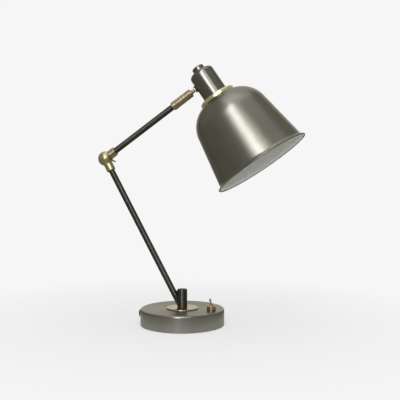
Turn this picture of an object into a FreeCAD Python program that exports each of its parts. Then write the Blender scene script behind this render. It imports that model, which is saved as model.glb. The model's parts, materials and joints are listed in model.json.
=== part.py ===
# Dome shade desk lamp: a weighted disc base with a toggle switch, a slotted post, two tubular arms
# joined by a clamped ball elbow, and a spun dome shade on a swivelling, tilting knuckle.
# Millimetres. The origin is the base's centre on the table, +Z is up and +X is the lamp's front.
import FreeCAD
import Part
import math
import os
import re
import Sketcher

Vector = FreeCAD.Vector
doc = FreeCAD.newDocument("DomeShadeDeskLamp")

# Driving sizes
driving_sizes = [
    # fits shared by all pieces
    ("piece_gap", 0.3, "gap between pieces that pass each other"),
    ("running_gap", 0.05, "radial clearance of a pin or screw that turns"),
    ("side_gap", 0.15, "gap on each side of a tongue in its slot"),
    ("edge_break", 0.5, "small bevel or rounding of a turned edge"),
    # base
    ("base_radius", 82.5, "disc base, outside"),
    ("base_height", 33.0, "table to the top of the base"),
    ("base_round", 3.5, "rounding of the base's top edge"),
    ("base_wall", 2.5, "wall and top of the base shell"),
    ("rim_rise", 1.0, "lower edge of the shell above the table"),
    ("felt_depth", 1.5, "thickness of the felt"),
    ("felt_margin", 4.0, "felt edge inside the shell's outside"),
    ("plate_depth", 1.5, "thickness of the bottom plate"),
    ("weight_depth", 16.0, "thickness of the iron weight"),
    ("weight_margin", 1.0, "weight inside the shell's wall"),
    ("hub_radius", 14.0, "hub of the weight under the shell's top"),
    ("nut_pocket_radius", 12.5, "pocket for the post's nut, under the weight"),
    ("nut_pocket_depth", 8.0, "depth of that pocket"),
    ("plate_screw_inset", 27.5, "base's edge to the circle of the plate screws"),
    ("plate_screw_radius", 1.5, "plate screw, shank"),
    ("plate_screw_head", 2.9, "plate screw, countersunk head"),
    ("plate_screw_length", 9.0, "plate screw, whole length"),
    ("plate_screw_count", 3, "number of plate screws"),
    # rosette and post
    ("rosette_radius", 31.4, "thin round plate under the post"),
    ("rosette_depth", 2.0, "its thickness"),
    ("rosette_round", 0.8, "rounding of its top edge"),
    ("post_radius", 9.6, "post"),
    ("post_height", 37.7, "top of the base to the top of the post"),
    ("spigot_radius", 5.0, "threaded end of the post, through the base"),
    ("spigot_rise", 4.2, "lower end of that thread above the table"),
    ("wire_radius", 3.0, "wire way through the post and the gland"),
    ("washer_radius", 11.0, "washer under the post's nut"),
    ("washer_depth", 1.6, "its thickness"),
    ("post_nut_flats", 17.0, "post nut, across flats"),
    ("post_nut_depth", 4.6, "post nut, thickness"),
    ("stop_height", 34.0, "top of the stop lug above the base"),
    ("stop_reach", 8.0, "how far the lug's blank stands off the post"),
    ("stop_depth", 7.0, "height of the lug's blank"),
    # lower arm
    ("pivot_back", 6.3, "arm pivot behind the post's axis"),
    ("pivot_rise", 9.5, "arm pivot above the top of the base"),
    ("pivot_radius", 2.0, "pivot screw"),
    ("pivot_hole_end", 6.0, "post's axis to the blind end of the pivot hole"),
    ("pivot_screw_end", 6.5, "post's axis to the slotted end of the pivot screw"),
    ("driver_slot", 1.0, "width and depth of the slot in its end"),
    ("lean", 28.8, "lean of the lower arm from upright, degrees"),
    ("foot_tongue", 6.0, "thickness of the arm's milled foot"),
    ("foot_flats", 17.0, "length of the milled flats from the pivot"),
    ("foot_wire_radius", 2.4, "wire way through the arm's foot"),
    ("foot_length", 26.0, "pivot to the shoulder where the tube starts"),
    ("plug_length", 20.0, "how far a rod end goes into its tube"),
    ("plug_gap", 0.05, "radial gap of a rod end in its tube"),
    ("tube_radius", 6.0, "both arms' tubes, outside"),
    ("tube_wall", 1.0, "both arms' tubes, wall"),
    ("lower_reach", 324.4, "arm pivot to the elbow's centre"),
    # elbow
    ("ball_radius", 14.7, "elbow ball"),
    ("ball_flat", 13.3, "seat of the wing screw from the ball's centre"),
    ("ball_blend", 2.0, "blend between the ball and its ferrule"),
    ("ferrule_radius", 9.0, "ferrules on both sides of the elbow"),
    ("ferrule_drop", 27.0, "ball centre to the lower ferrule's end"),
    ("ferrule_round", 0.8, "rounding of the ferrules' ends"),
    ("socket_rise", 13.5, "ball centre to the lower tube's end"),
    ("elbow_tongue", 5.0, "thickness of the elbow tongue"),
    ("tongue_half", 5.0, "half width of the elbow tongue"),
    ("tongue_end", 7.5, "round end of the elbow tongue"),
    ("tongue_wire_radius", 1.8, "wire way through the elbow tongue"),
    ("elbow_washer", 0.7, "thickness of the elbow's friction washers"),
    ("elbow_fold", 23.0, "how far the elbow folds from rest, degrees"),
    ("elbow_open", 65.0, "how far the elbow opens from rest, degrees"),
    ("clamp_radius", 2.5, "wing screw, shank"),
    ("clamp_depth", 11.0, "its blind thread in the near cheek, from the ball's centre"),
    ("clamp_washer", 1.0, "thickness of the washer under the wing screw"),
    ("wing_hub", 5.0, "wing screw, hub"),
    ("wing_hub_depth", 6.5, "wing screw, hub height"),
    ("wing_span", 16.6, "wing screw, axis to the tip of a wing"),
    ("wing_width", 7.0, "wing, from its foot to its tip corner along the axis"),
    ("wing_thick", 3.0, "thickness of the wings"),
    ("wing_corner", 2.2, "cut corners of the wings"),
    ("wing_foot", 1.6, "hub's face to the lower edge of the wings"),
    ("wing_hub_top", 4.0, "wing screw, small end of the hub"),
    ("wing_turn", 26.0, "wings below level, degrees"),
    ("cup_gap", 0.9, "gap between the ball and the upper ferrule's cup"),
    ("upper_ferrule_end", 26.4, "ball centre to the upper ferrule's far end"),
    ("upper_tube_start", 16.5, "ball centre to the upper tube's end"),
    # upper arm
    ("upper_reach", 258.9, "elbow centre to the neck's axis"),
    ("upper_rise", 35.0, "rise of the upper arm above level, degrees"),
    ("joint_gap", 12.9, "sleeve end to the neck's wall"),
    ("sleeve_length", 45.5, "brass sleeve at the head end"),
    ("sleeve_radius", 8.45, "brass sleeve, outside"),
    ("collar_radius", 8.75, "thicker collar at the sleeve's start"),
    ("collar_length", 11.0, "length of that collar"),
    ("sleeve_step", 16.0, "tube's end inside the sleeve, from the sleeve's end"),
    ("sleeve_bore", 5.2, "bore of the sleeve past the tube"),
    ("sleeve_wall", 4.5, "end wall of the sleeve"),
    ("grub_radius", 1.5, "set screw of the sleeve"),
    ("grub_length", 1.9, "its length"),
    ("grub_socket", 0.75, "radius of the socket in its end"),
    # knuckle
    ("pin_to_neck", 7.9, "knuckle pin to the neck's wall"),
    ("shank_radius", 3.5, "swivel shank in the sleeve"),
    ("shank_length", 8.6, "its length from the flange"),
    ("flange_radius", 5.5, "swivel flange against the sleeve"),
    ("fork_radius", 4.0, "knuckle fork"),
    ("knuckle_tongue", 3.2, "thickness of the head's tongue"),
    ("knuckle_end", 3.6, "round end of the head's tongue"),
    ("knuckle_blade", 6.4, "width of the tongue next to its stud"),
    ("knuckle_pin", 1.25, "radius of the knuckle pin"),
    ("knuckle_pin_half", 3.6, "half length of the knuckle pin"),
    ("clip_radius", 4.8, "retaining clip on the shank"),
    ("clip_groove", 2.7, "groove for the clip"),
    ("clip_depth", 1.2, "thickness of the clip"),
    ("clip_mouth", 3.8, "opening of the clip"),
    ("stud_radius", 4.0, "stud through the neck's wall"),
    ("stud_length", 12.0, "its length from the nut's face"),
    ("stud_nut_radius", 6.9, "round nut outside the neck"),
    ("stud_nut_depth", 2.8, "its thickness"),
    ("saddle_radius", 6.2, "shaped washer on the neck"),
    ("saddle_reach", 21.6, "neck's axis to the saddle washer's blank"),
    ("inner_nut_radius", 6.5, "nut inside the neck"),
    ("inner_nut_depth", 2.5, "its thickness"),
    # head
    ("neck_radius", 24.4, "neck cup, outside"),
    ("neck_wall", 1.5, "neck cup, wall"),
    ("neck_up", 22.3, "arm's line to the top of the neck"),
    ("neck_down", 34.7, "arm's line to the lower edge of the neck"),
    ("neck_round", 7.0, "rounding of the neck's top"),
    ("knob_radius", 12.0, "cap knob"),
    ("knob_height", 10.2, "its height"),
    ("knob_round", 2.0, "rounding of its top"),
    ("stem_radius", 3.0, "threaded stem under the knob"),
    ("stem_in_knob", 7.0, "stem inside the knob"),
    ("stem_in_holder", 7.0, "stem inside the lampholder"),
    ("holder_top", 10.0, "arm's line to the top of the lampholder"),
    ("holder_radius", 17.0, "lampholder, inside the neck"),
    ("holder_bevel", 2.5, "bevel of its top"),
    ("holder_flange", 22.0, "its flange on the shade collar"),
    ("holder_flange_depth", 3.0, "thickness of that flange"),
    ("skirt_radius", 19.2, "lampholder below the flange"),
    ("skirt_depth", 27.3, "neck's lower edge to the lampholder's mouth"),
    ("skirt_bore", 14.0, "bore of the lampholder"),
    ("shell_radius", 13.3, "inside of the lamp's thread shell"),
    ("shell_depth", 22.0, "length of the thread shell"),
    ("shell_inset", 2.0, "thread shell inside the mouth"),
    ("contact_tip", 2.7, "centre contact, radius of its tip"),
    ("contact_dome", 4.4, "radius where its dome starts"),
    ("contact_disc", 6.6, "radius of its disc"),
    ("contact_leaf", 0.7, "thickness of its disc"),
    ("clamp_ring_radius", 27.0, "ring that holds the shade up"),
    ("clamp_ring_depth", 6.0, "its height"),
    ("clamp_ring_bevel", 1.5, "bevel of its lower edge"),
    ("collar_plate_radius", 36.4, "brass collar on top of the shade"),
    ("collar_edge", 4.9, "height of its edge"),
    ("collar_dome", 3.2, "rise of its domed top"),
    ("collar_seat", 0.75, "flat of the collar around the neck"),
    ("collar_low_round", 0.8, "rounding of its lower edge"),
    ("collar_high_round", 1.2, "rounding of its upper edge"),
    # shade
    ("shade_wall", 1.0, "thickness of the spun shade"),
    ("shade_depth", 149.5, "top of the shade to its rim"),
    ("shoulder_start", 36.0, "radius where the shoulder starts"),
    ("shoulder_radius", 54.0, "radius of the shoulder's arc"),
    ("wall_angle", 9.3, "flare of the shade's wall, degrees"),
    ("rim_radius", 97.3, "outside of the rolled rim"),
    ("shoulder_inset", 75.9, "rim's edge to the centre of the shoulder's arc, across"),
    ("flare_radius", 8.0, "radius of the flared lip"),
    ("bead_radius", 1.3, "rolled bead at the rim"),
    # switch
    ("switch_inset", 22.9, "base's edge to the switch's axis"),
    ("switch_width", 13.0, "switch body, across"),
    ("switch_length", 18.0, "switch body, front to back"),
    ("switch_depth", 13.0, "switch body, height"),
    ("switch_room", 1.0, "room around it in the weight"),
    ("bushing_radius", 4.9, "threaded bushing of the switch"),
    ("bushing_bore", 2.55, "its bore"),
    ("bushing_mouth", 3.7, "its flared mouth"),
    ("bushing_flange", 6.8, "its flange under the shell"),
    ("bushing_flange_depth", 1.2, "thickness of that flange"),
    ("bushing_rise", 10.5, "top of the base to the top of the bushing"),
    ("switch_nut_radius", 8.8, "round nut of the switch"),
    ("switch_nut_depth", 8.5, "its height"),
    ("switch_nut_bevel", 1.2, "bevel of its top"),
    ("lever_rise", 6.3, "toggle pivot above the top of the base"),
    ("lever_ball", 2.45, "ball of the toggle"),
    ("lever_root", 1.4, "toggle next to its ball"),
    ("lever_tip", 2.0, "toggle at its round tip"),
    ("lever_length", 14.0, "pivot to the centre of the round tip"),
    ("lever_lean", 10.0, "lean of the toggle to each side, degrees"),
    # cord gland and connector
    ("gland_rise", 18.5, "cord gland above the table"),
    ("gland_radius", 7.25, "flange of the gland"),
    ("gland_reach", 7.0, "how far it stands off the base"),
    ("gland_spigot", 4.9, "its spigot through the wall"),
    ("gland_length", 10.0, "length of the spigot"),
    ("gland_nut_radius", 7.0, "nut inside the wall"),
    ("gland_nut_depth", 3.0, "its thickness"),
    ("block_length", 20.0, "connector block, length"),
    ("block_width", 12.0, "connector block, width"),
    ("block_height", 8.0, "connector block, height"),
    ("block_inset", 32.5, "base's edge to the middle of the connector block"),
    ("block_hole", 1.6, "wire holes of the connector block"),
]

sheet = doc.addObject("Spreadsheet::Sheet", "Sizes")
aliases = []
for row, (alias, number, meaning) in enumerate(driving_sizes, 1):
    sheet.set("A%d" % row, meaning)
    sheet.set("B%d" % row, str(number))
    sheet.setAlias("B%d" % row, alias)
    aliases.append(alias)
doc.recompute()


def size(alias):
    return float(sheet.get(alias))


# Heights and places, as formulas
weight_low = "(felt_depth + plate_depth)"
weight_high = "(felt_depth + plate_depth + weight_depth)"
pocket_high = "(felt_depth + plate_depth + nut_pocket_depth)"
ceiling = "(base_height - base_wall)"
post_seat = "(base_height + rosette_depth)"
post_top = "(base_height + post_height)"
foot_x = "(-pivot_back)"
foot_z = "(base_height + pivot_rise)"
switch_x = "(base_radius - switch_inset)"
screw_circle = "(base_radius - plate_screw_inset)"
elbow_x = "(-pivot_back - lower_reach * sin(lean))"
elbow_z = "(base_height + pivot_rise + lower_reach * cos(lean))"
pin_run = "(upper_reach - neck_radius - pin_to_neck)"
pin_x = "(%s + %s * cos(upper_rise))" % (elbow_x, pin_run)
pin_z = "(%s + %s * sin(upper_rise))" % (elbow_z, pin_run)
head_x = "(%s + upper_reach * cos(upper_rise))" % elbow_x
head_z = "(%s + upper_reach * sin(upper_rise))" % elbow_z
sleeve_end = "(upper_reach - neck_radius - joint_gap)"
collar_top = "(-neck_down)"
shade_top = "(-neck_down - collar_dome - collar_edge)"
rim_low = "(-neck_down - collar_dome - collar_edge - shade_depth)"
arm_swing = "(tube_radius + piece_gap)"
foot_slot = "(foot_tongue + 2 * side_gap)"
elbow_slot = "(elbow_tongue + 2 * elbow_washer + 2 * side_gap)"
knuckle_slot = "(knuckle_tongue + 2 * side_gap)"
lever_z = "(base_height + lever_rise)"

# Each frame is the place of a group of pieces: x, z and a turn about Y in degrees.
frames = {
    "base": ("0", "0", "0"),
    "foot": (foot_x, foot_z, "-lean"),
    "pivot": (foot_x, foot_z, "0"),
    "ball": (elbow_x, elbow_z, "-lean"),
    "wing": (elbow_x, elbow_z, "wing_turn"),
    "upper": (elbow_x, elbow_z, "90 - upper_rise"),
    "knuckle": (pin_x, pin_z, "90 - upper_rise"),
    "head": (head_x, head_z, "-upper_rise"),
    "switch": (switch_x, "0", "0"),
    "lever": (switch_x, lever_z, "-lever_lean"),
    "gland": ("0", "gland_rise", "0"),
}
pieces = []


# Modelling helpers
def bind(item, name, formula):
    """Ties a property to a formula of the sheet's names."""
    def cell(word):
        found = word.group()
        return "Sizes." + found if found in aliases else found
    item.setExpression(name, re.sub(r"[a-z]\w*", cell, formula))


def set_place(item, x, z, turn):
    item.Placement = FreeCAD.Placement(Vector(0, 0, 0), FreeCAD.Rotation(Vector(0, 1, 0), 1))
    bind(item, "Placement.Base.x", x)
    bind(item, "Placement.Base.z", z)
    bind(item, "Placement.Rotation.Angle", turn)


def finish(item, label, frame):
    """Names a piece, puts it in its frame and lists it for export."""
    item.Label = label
    x, z, turn = frames[frame]
    if frame != "base":
        set_place(item, x, z, turn)
    doc.recompute()
    pieces.append(item)
    return item


def origin_plane(body, role):
    return [feature for feature in body.Origin.OriginFeatures if feature.Role == role][0]


def new_body(name):
    return doc.addObject("PartDesign::Body", name.title().replace("_", ""))


def new_sketch(body, name, role):
    sketch = body.newObject("Sketcher::SketchObject", body.Name + name)
    sketch.AttachmentSupport = [(origin_plane(body, role), "")]
    sketch.MapMode = "FlatFace"
    return sketch


def pin_point(sketch, line, end, across, up):
    """Holds one point of a sketch at two distances from the origin."""
    for kind, formula in (("DistanceX", across), ("DistanceY", up)):
        number = sketch.addConstraint(Sketcher.Constraint(kind, -1, 1, line, end, 1.0))
        bind(sketch, "Constraints[%d]" % number, formula)


def polygon(body, name, role, corners):
    """A closed outline of straight lines, each corner given by two formulas."""
    sketch = new_sketch(body, name, role)
    count = len(corners)
    start = [Vector(10 * math.cos(2 * math.pi * step / count),
                    10 * math.sin(2 * math.pi * step / count), 0)
             for step in range(count)]
    for step in range(count):
        sketch.addGeometry(Part.LineSegment(start[step], start[(step + 1) % count]), False)
    for step in range(count):
        sketch.addConstraint(Sketcher.Constraint("Coincident", step, 2, (step + 1) % count, 1))
    for step, (across, up) in enumerate(corners):
        pin_point(sketch, step, 1, across, up)
    return sketch


def revolve(body, sketch, axis="V_Axis"):
    turned = body.newObject("PartDesign::Revolution", sketch.Name + "Turned")
    turned.Profile = sketch
    turned.ReferenceAxis = (sketch, [axis])
    turned.Angle = 360
    return turned


def turned_body(name, corners, role="XZ_Plane", axis="V_Axis"):
    """A turned piece: corners are (radius, height), or (place, radius) about a level axis."""
    body = new_body(name)
    revolve(body, polygon(body, "Profile", role, corners), axis)
    return body


def tube_body(name, inner, outer, low, high):
    return turned_body(name, [(inner, low), (outer, low), (outer, high), (inner, high)])


def pad(body, sketch, length):
    solid = body.newObject("PartDesign::Pad", sketch.Name + "Pad")
    solid.Profile = sketch
    solid.Midplane = True
    bind(solid, "Length", length)
    return solid


def pocket(body, sketch, length):
    """Cuts a sketch equally to both sides of its plane and checks that it took material away."""
    doc.recompute()
    before = body.Shape.Volume
    cut = body.newObject("PartDesign::Pocket", sketch.Name + "Pocket")
    cut.Profile = sketch
    cut.Midplane = True
    bind(cut, "Length", length)
    doc.recompute()
    if body.Shape.Volume >= before:
        raise RuntimeError("%s removes nothing" % cut.Name)
    return cut


turns = {
    "X": FreeCAD.Rotation(Vector(0, 1, 0), 90),
    "Y": FreeCAD.Rotation(Vector(1, 0, 0), -90),
    "Z": FreeCAD.Rotation(Vector(0, 0, 1), 0),
}


def solid_feature(body, kind, name, measures, start=("0", "0", "0"), along="Z"):
    """A primitive added to or cut from a body, from a start point along one axis of the body."""
    feature = body.newObject("PartDesign::" + kind, body.Name + name)
    feature.Placement = FreeCAD.Placement(Vector(0, 0, 0), turns[along])
    for axis, formula in zip("xyz", start):
        bind(feature, "Placement.Base." + axis, formula)
    for measure, formula in measures.items():
        bind(feature, measure, formula)
    return feature


def rod(body, name, radius, length, start=("0", "0", "0"), along="Z"):
    return solid_feature(body, "AdditiveCylinder", name, {"Radius": radius, "Height": length}, start,
                         along)


def drill(body, name, radius, length, start=("0", "0", "0"), along="Z"):
    return solid_feature(body, "SubtractiveCylinder", name, {"Radius": radius, "Height": length},
                         start, along)


def block(body, name, length, width, height, start, kind="AdditiveBox"):
    return solid_feature(body, kind, name, {"Length": length, "Width": width, "Height": height}, start)


def ring_edges(body, radius, height):
    """Names of the round edges about the body's own Z axis at one radius and height."""
    names = []
    for number, edge in enumerate(body.Tip.Shape.Edges, 1):
        if edge.Degenerated or not isinstance(edge.Curve, Part.Circle):
            continue
        curve = edge.Curve
        on_axis = abs(curve.Center.x) < 0.001 and abs(curve.Center.y) < 0.001
        if on_axis and abs(curve.Radius - radius) < 0.01 and abs(curve.Center.z - height) < 0.01:
            names.append("Edge%d" % number)
    return names


def dress(body, kind, name, edges, amount):
    """A fillet or chamfer on the named edges of the body's last feature."""
    base = body.Tip
    if not edges:
        raise RuntimeError("%s finds no edge" % name)
    feature = body.newObject("PartDesign::" + kind, body.Name + name)
    feature.Base = (base, edges)
    bind(feature, "Radius" if kind == "Fillet" else "Size", amount)
    doc.recompute()
    return feature


def round_ring(body, name, radius, height, amount):
    doc.recompute()
    return dress(body, "Fillet", name, ring_edges(body, radius, height), amount)


def bevel_ring(body, name, radius, height, amount):
    doc.recompute()
    return dress(body, "Chamfer", name, ring_edges(body, radius, height), amount)


def repeat_round(body, feature, count):
    pattern = body.newObject("PartDesign::PolarPattern", feature.Name + "Pattern")
    pattern.Originals = [feature]
    pattern.Axis = (origin_plane(body, "Z_Axis"), [""])
    pattern.Angle = 360
    bind(pattern, "Occurrences", count)
    body.Tip = pattern
    return pattern


def hexagon(flats):
    """Corners of a hexagon from its width across flats."""
    return [("%s / 2 / cos(30) * cos(%d)" % (flats, 60 * step),
             "%s / 2 / cos(30) * sin(%d)" % (flats, 60 * step))
            for step in range(6)]


# Base
def make_base_shell():
    """Spun cover: a flat top with a rounded edge and a straight skirt, open below."""
    hole = "(spigot_radius + running_gap)"
    inside = "(base_radius - base_wall)"
    body = turned_body("base_shell", [
        (hole, ceiling), (inside, ceiling), (inside, "rim_rise"), ("base_radius", "rim_rise"),
        ("base_radius", "base_height"), (hole, "base_height")])
    round_ring(body, "TopEdge", size("base_radius"), size("base_height"), "base_round")
    drill(body, "SwitchHole", "bushing_radius + running_gap", "2 * base_wall",
          (switch_x, "0", ceiling + " - base_wall / 2"))
    drill(body, "GlandHole", "gland_spigot + running_gap", "2 * base_wall + gland_reach",
          ("-base_radius - base_wall", "0", "gland_rise"), "X")
    finish(body, "base_shell", "base")


def make_base_weight():
    """Cast iron disc with a hub up to the shell's top, a nut pocket below and room for the fittings."""
    bore = "(spigot_radius + piece_gap)"
    outside = "(base_radius - base_wall - weight_margin)"
    body = turned_body("base_weight", [
        (bore, pocket_high), ("nut_pocket_radius", pocket_high), ("nut_pocket_radius", weight_low),
        (outside, weight_low), (outside, weight_high), ("hub_radius", weight_high),
        ("hub_radius", ceiling), (bore, ceiling)])
    block(body, "SwitchRoom", "switch_length + 2 * switch_room", "switch_width + 2 * switch_room",
          "weight_depth",
          (switch_x + " - switch_length / 2 - switch_room", "-switch_width / 2 - switch_room",
           ceiling + " - bushing_flange_depth - switch_depth - switch_room"), "SubtractiveBox")
    block(body, "GlandRoom", "gland_length + base_wall", "2 * gland_nut_radius + 2 * switch_room",
          "weight_depth",
          ("-base_radius", "-gland_nut_radius - switch_room",
           "gland_rise - gland_nut_radius - switch_room"),
          "SubtractiveBox")
    hole = drill(body, "ScrewHole", "plate_screw_radius + running_gap", "plate_screw_length",
                 (screw_circle + " * cos(60)", screw_circle + " * sin(60)", weight_low))
    repeat_round(body, hole, "plate_screw_count")
    finish(body, "base_weight", "base")


def make_base_plate():
    """Bottom plate inside the shell's skirt, with countersunk screw holes."""
    body = turned_body("base_plate", [
        ("0", "felt_depth"), ("base_radius - base_wall - piece_gap", "felt_depth"),
        ("base_radius - base_wall - piece_gap", weight_low), ("0", weight_low)])
    sink = solid_feature(body, "SubtractiveCone", "Sink", {
        "Radius1": "plate_screw_head + running_gap", "Radius2": "plate_screw_radius + running_gap",
        "Height": "plate_depth"},
        (screw_circle + " * cos(60)", screw_circle + " * sin(60)", "felt_depth"))
    repeat_round(body, sink, "plate_screw_count")
    finish(body, "base_plate", "base")


def make_plate_screws():
    """Countersunk screws that hold the plate to the weight, one group."""
    parts = []
    for step in range(int(size("plate_screw_count"))):
        angle = "(60 + 360 / plate_screw_count * %d)" % step
        head = doc.addObject("Part::Cone", "PlateScrewHead%d" % step)
        shank = doc.addObject("Part::Cylinder", "PlateScrewShank%d" % step)
        bind(head, "Radius1", "plate_screw_head")
        bind(head, "Radius2", "plate_screw_radius")
        bind(head, "Height", "plate_depth")
        bind(shank, "Radius", "plate_screw_radius")
        bind(shank, "Height", "plate_screw_length - plate_depth")
        for item, height in ((head, "felt_depth"), (shank, weight_low)):
            bind(item, "Placement.Base.x", "%s * cos(%s)" % (screw_circle, angle))
            bind(item, "Placement.Base.y", "%s * sin(%s)" % (screw_circle, angle))
            bind(item, "Placement.Base.z", height)
        parts += [head, shank]
    group = doc.addObject("Part::MultiFuse", "PlateScrews")
    group.Shapes = parts
    finish(group, "plate_screws", "base")


def make_felt_pad():
    body = tube_body("felt_pad", "0", "base_radius - felt_margin", "0", "felt_depth")
    finish(body, "felt_pad", "base")


# Post
def make_rosette():
    body = tube_body("rosette", "spigot_radius + running_gap", "rosette_radius", "base_height", post_seat)
    height = size("base_height") + size("rosette_depth")
    round_ring(body, "TopEdge", size("rosette_radius"), height, "rosette_round")
    finish(body, "rosette", "base")


def make_post():
    """Turned post with a threaded spigot below and a slot milled into its back.

    The slot is the space that the arm's foot sweeps, so its sloping wall and the lug above it
    are the stop that the arm rests against when it is most upright.
    """
    body = turned_body("post", [
        ("wire_radius", "spigot_rise"), ("spigot_radius", "spigot_rise"), ("spigot_radius", post_seat),
        ("post_radius", post_seat), ("post_radius", post_top), ("0", post_top), ("0", foot_z),
        ("wire_radius", foot_z)])
    block(body, "StopLug", "stop_reach + post_radius / 2", "foot_tongue", "stop_depth",
          ("-post_radius - stop_reach", "-foot_tongue / 2", "base_height + stop_height - stop_depth"))
    wall_x = "(-pivot_back + %s * cos(lean))" % arm_swing
    wall_z = "(%s + %s * sin(lean))" % (foot_z, arm_swing)
    far_x = "(%s - 2 * post_height * sin(lean))" % wall_x
    far_z = "(%s + 2 * post_height * cos(lean))" % wall_z
    floor_z = "(%s - %s)" % (foot_z, arm_swing)
    sketch = polygon(body, "Slot", "XZ_Plane", [
        (foot_x, floor_z), (wall_x, wall_z), (far_x, far_z), (far_x, floor_z)])
    pocket(body, sketch, foot_slot)
    drill(body, "SlotEnd", arm_swing, foot_slot, (foot_x, "-%s / 2" % foot_slot, foot_z), "Y")
    drill(body, "PivotHole", "pivot_radius + running_gap", "2 * post_radius",
          (foot_x, "-pivot_hole_end", foot_z), "Y")
    doc.recompute()
    bevel_ring(body, "TopEdge", size("post_radius"), size("base_height") + size("post_height"),
               "edge_break")
    finish(body, "post", "base")


def make_pivot_screw():
    """Headless slotted screw, flush in the post, that the arm's foot turns on."""
    blind_end = "(piece_gap - pivot_hole_end)"
    body = turned_body("pivot_screw", [
        (blind_end, "0"), ("pivot_screw_end", "0"), ("pivot_screw_end", "pivot_radius"),
        (blind_end, "pivot_radius")], "YZ_Plane", "H_Axis")
    block(body, "DriverSlot", "4 * pivot_radius", "driver_slot", "driver_slot",
          ("-2 * pivot_radius", "pivot_screw_end - driver_slot", "-driver_slot / 2"), "SubtractiveBox")
    finish(body, "pivot_screw", "pivot")


def make_post_fixings():
    washer_low = "(%s - washer_depth)" % pocket_high
    nut_low = "(%s - post_nut_depth)" % washer_low
    washer = tube_body("post_washer", "spigot_radius + running_gap", "washer_radius", washer_low,
                       pocket_high)
    finish(washer, "post_washer", "base")
    nut = new_body("post_nut")
    sketch = polygon(nut, "Hex", "XY_Plane", hexagon("post_nut_flats"))
    prism = nut.newObject("PartDesign::Pad", "PostNutPad")
    prism.Profile = sketch
    bind(prism, "Length", "post_nut_depth")
    drill(nut, "Thread", "spigot_radius + running_gap", "post_nut_depth * 2",
          ("0", "0", "-post_nut_depth / 2"))
    bind(nut, "Placement.Base.z", nut_low)
    finish(nut, "post_nut", "base")


# Switch, gland and connector
def make_switch():
    """Toggle switch: body under the shell, threaded bushing, round nut and lever."""
    body = new_body("switch_body")
    body_high = "(%s - bushing_flange_depth)" % ceiling
    block(body, "Case", "switch_length", "switch_width", "switch_depth",
          ("-switch_length / 2", "-switch_width / 2", body_high + " - switch_depth"))
    finish(body, "switch_body", "switch")
    bushing_top = "(base_height + bushing_rise)"
    bushing = turned_body("switch_bushing", [
        ("bushing_bore", body_high), ("bushing_flange", body_high), ("bushing_flange", ceiling),
        ("bushing_radius", ceiling), ("bushing_radius", bushing_top), ("bushing_mouth", bushing_top),
        ("bushing_bore", lever_z + " + lever_ball / 2")])
    finish(bushing, "switch_bushing", "switch")
    nut_top = "(base_height + switch_nut_depth)"
    nut = tube_body("switch_nut", "bushing_radius + running_gap", "switch_nut_radius", "base_height",
                    nut_top)
    bevel_ring(nut, "Bevel", size("switch_nut_radius"), size("base_height") + size("switch_nut_depth"),
               "switch_nut_bevel")
    finish(nut, "switch_nut", "switch")
    lever = new_body("switch_lever")
    solid_feature(lever, "AdditiveSphere", "Ball", {"Radius": "lever_ball"})
    solid_feature(lever, "AdditiveCone", "Bat", {
        "Radius1": "lever_root", "Radius2": "lever_tip", "Height": "lever_length"})
    solid_feature(lever, "AdditiveSphere", "Tip", {"Radius": "lever_tip"}, ("0", "0", "lever_length"))
    finish(lever, "switch_lever", "lever")


def make_cord_gland():
    """Round gland in the back of the base, with its nut inside the wall."""
    wall = "(-base_radius)"
    gland = turned_body("cord_gland", [
        (wall + " - gland_reach", "wire_radius"), (wall + " - gland_reach", "gland_radius"),
        (wall, "gland_radius"), (wall, "gland_spigot"), (wall + " + gland_length", "gland_spigot"),
        (wall + " + gland_length", "wire_radius")], "XZ_Plane", "H_Axis")
    finish(gland, "cord_gland", "gland")
    nut_face = "(-base_radius + base_wall + piece_gap + running_gap)"
    nut = turned_body("gland_nut", [
        (nut_face, "gland_spigot + running_gap"), (nut_face, "gland_nut_radius"),
        (nut_face + " + gland_nut_depth", "gland_nut_radius"),
        (nut_face + " + gland_nut_depth", "gland_spigot + running_gap")], "XZ_Plane", "H_Axis")
    finish(nut, "gland_nut", "gland")


def make_connector_block():
    """Two pole screw connector on the weight, where the cord meets the lamp's wires."""
    body = new_body("connector_block")
    back = "(block_inset - block_length / 2 - base_radius)"
    block(body, "Case", "block_length", "block_width", "block_height",
          (back, "-block_width / 2", weight_high))
    for side, place in (("Left", "-block_width / 4"), ("Right", "block_width / 4")):
        drill(body, side + "Way", "block_hole", "block_length",
              (back, place, weight_high + " + block_height / 3"), "X")
        drill(body, side + "Screw", "block_hole", "block_height",
              (back + " + block_length * 3 / 4", place, weight_high + " + block_height / 2"))
    finish(body, "connector_block", "base")


# Lower arm
def make_foot_rod():
    """Solid end of the lower arm, with a round nose and two flats that fit the post's slot."""
    body = new_body("foot_rod")
    solid_feature(body, "AdditiveSphere", "Nose", {"Radius": "tube_radius"})
    rod(body, "Bar", "tube_radius", "foot_length")
    rod(body, "Plug", "tube_radius - tube_wall - plug_gap", "plug_length", ("0", "0", "foot_length"))
    for side, start in (("Near", "-foot_tongue / 2 - tube_radius"), ("Far", "foot_tongue / 2")):
        block(body, side + "Flat", "2 * tube_radius", "tube_radius", "tube_radius + foot_flats",
              ("-tube_radius", start, "-tube_radius"), "SubtractiveBox")
    drill(body, "PivotHole", "pivot_radius + running_gap", "2 * tube_radius",
          ("0", "-tube_radius", "0"), "Y")
    drill(body, "WireWay", "foot_wire_radius", "foot_length + plug_length", ("0", "0", "foot_flats"))
    finish(body, "foot_rod", "foot")


def make_lower_tube():
    body = tube_body("lower_tube", "tube_radius - tube_wall", "tube_radius", "foot_length",
                     "lower_reach - socket_rise")
    finish(body, "lower_tube", "foot")


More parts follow.
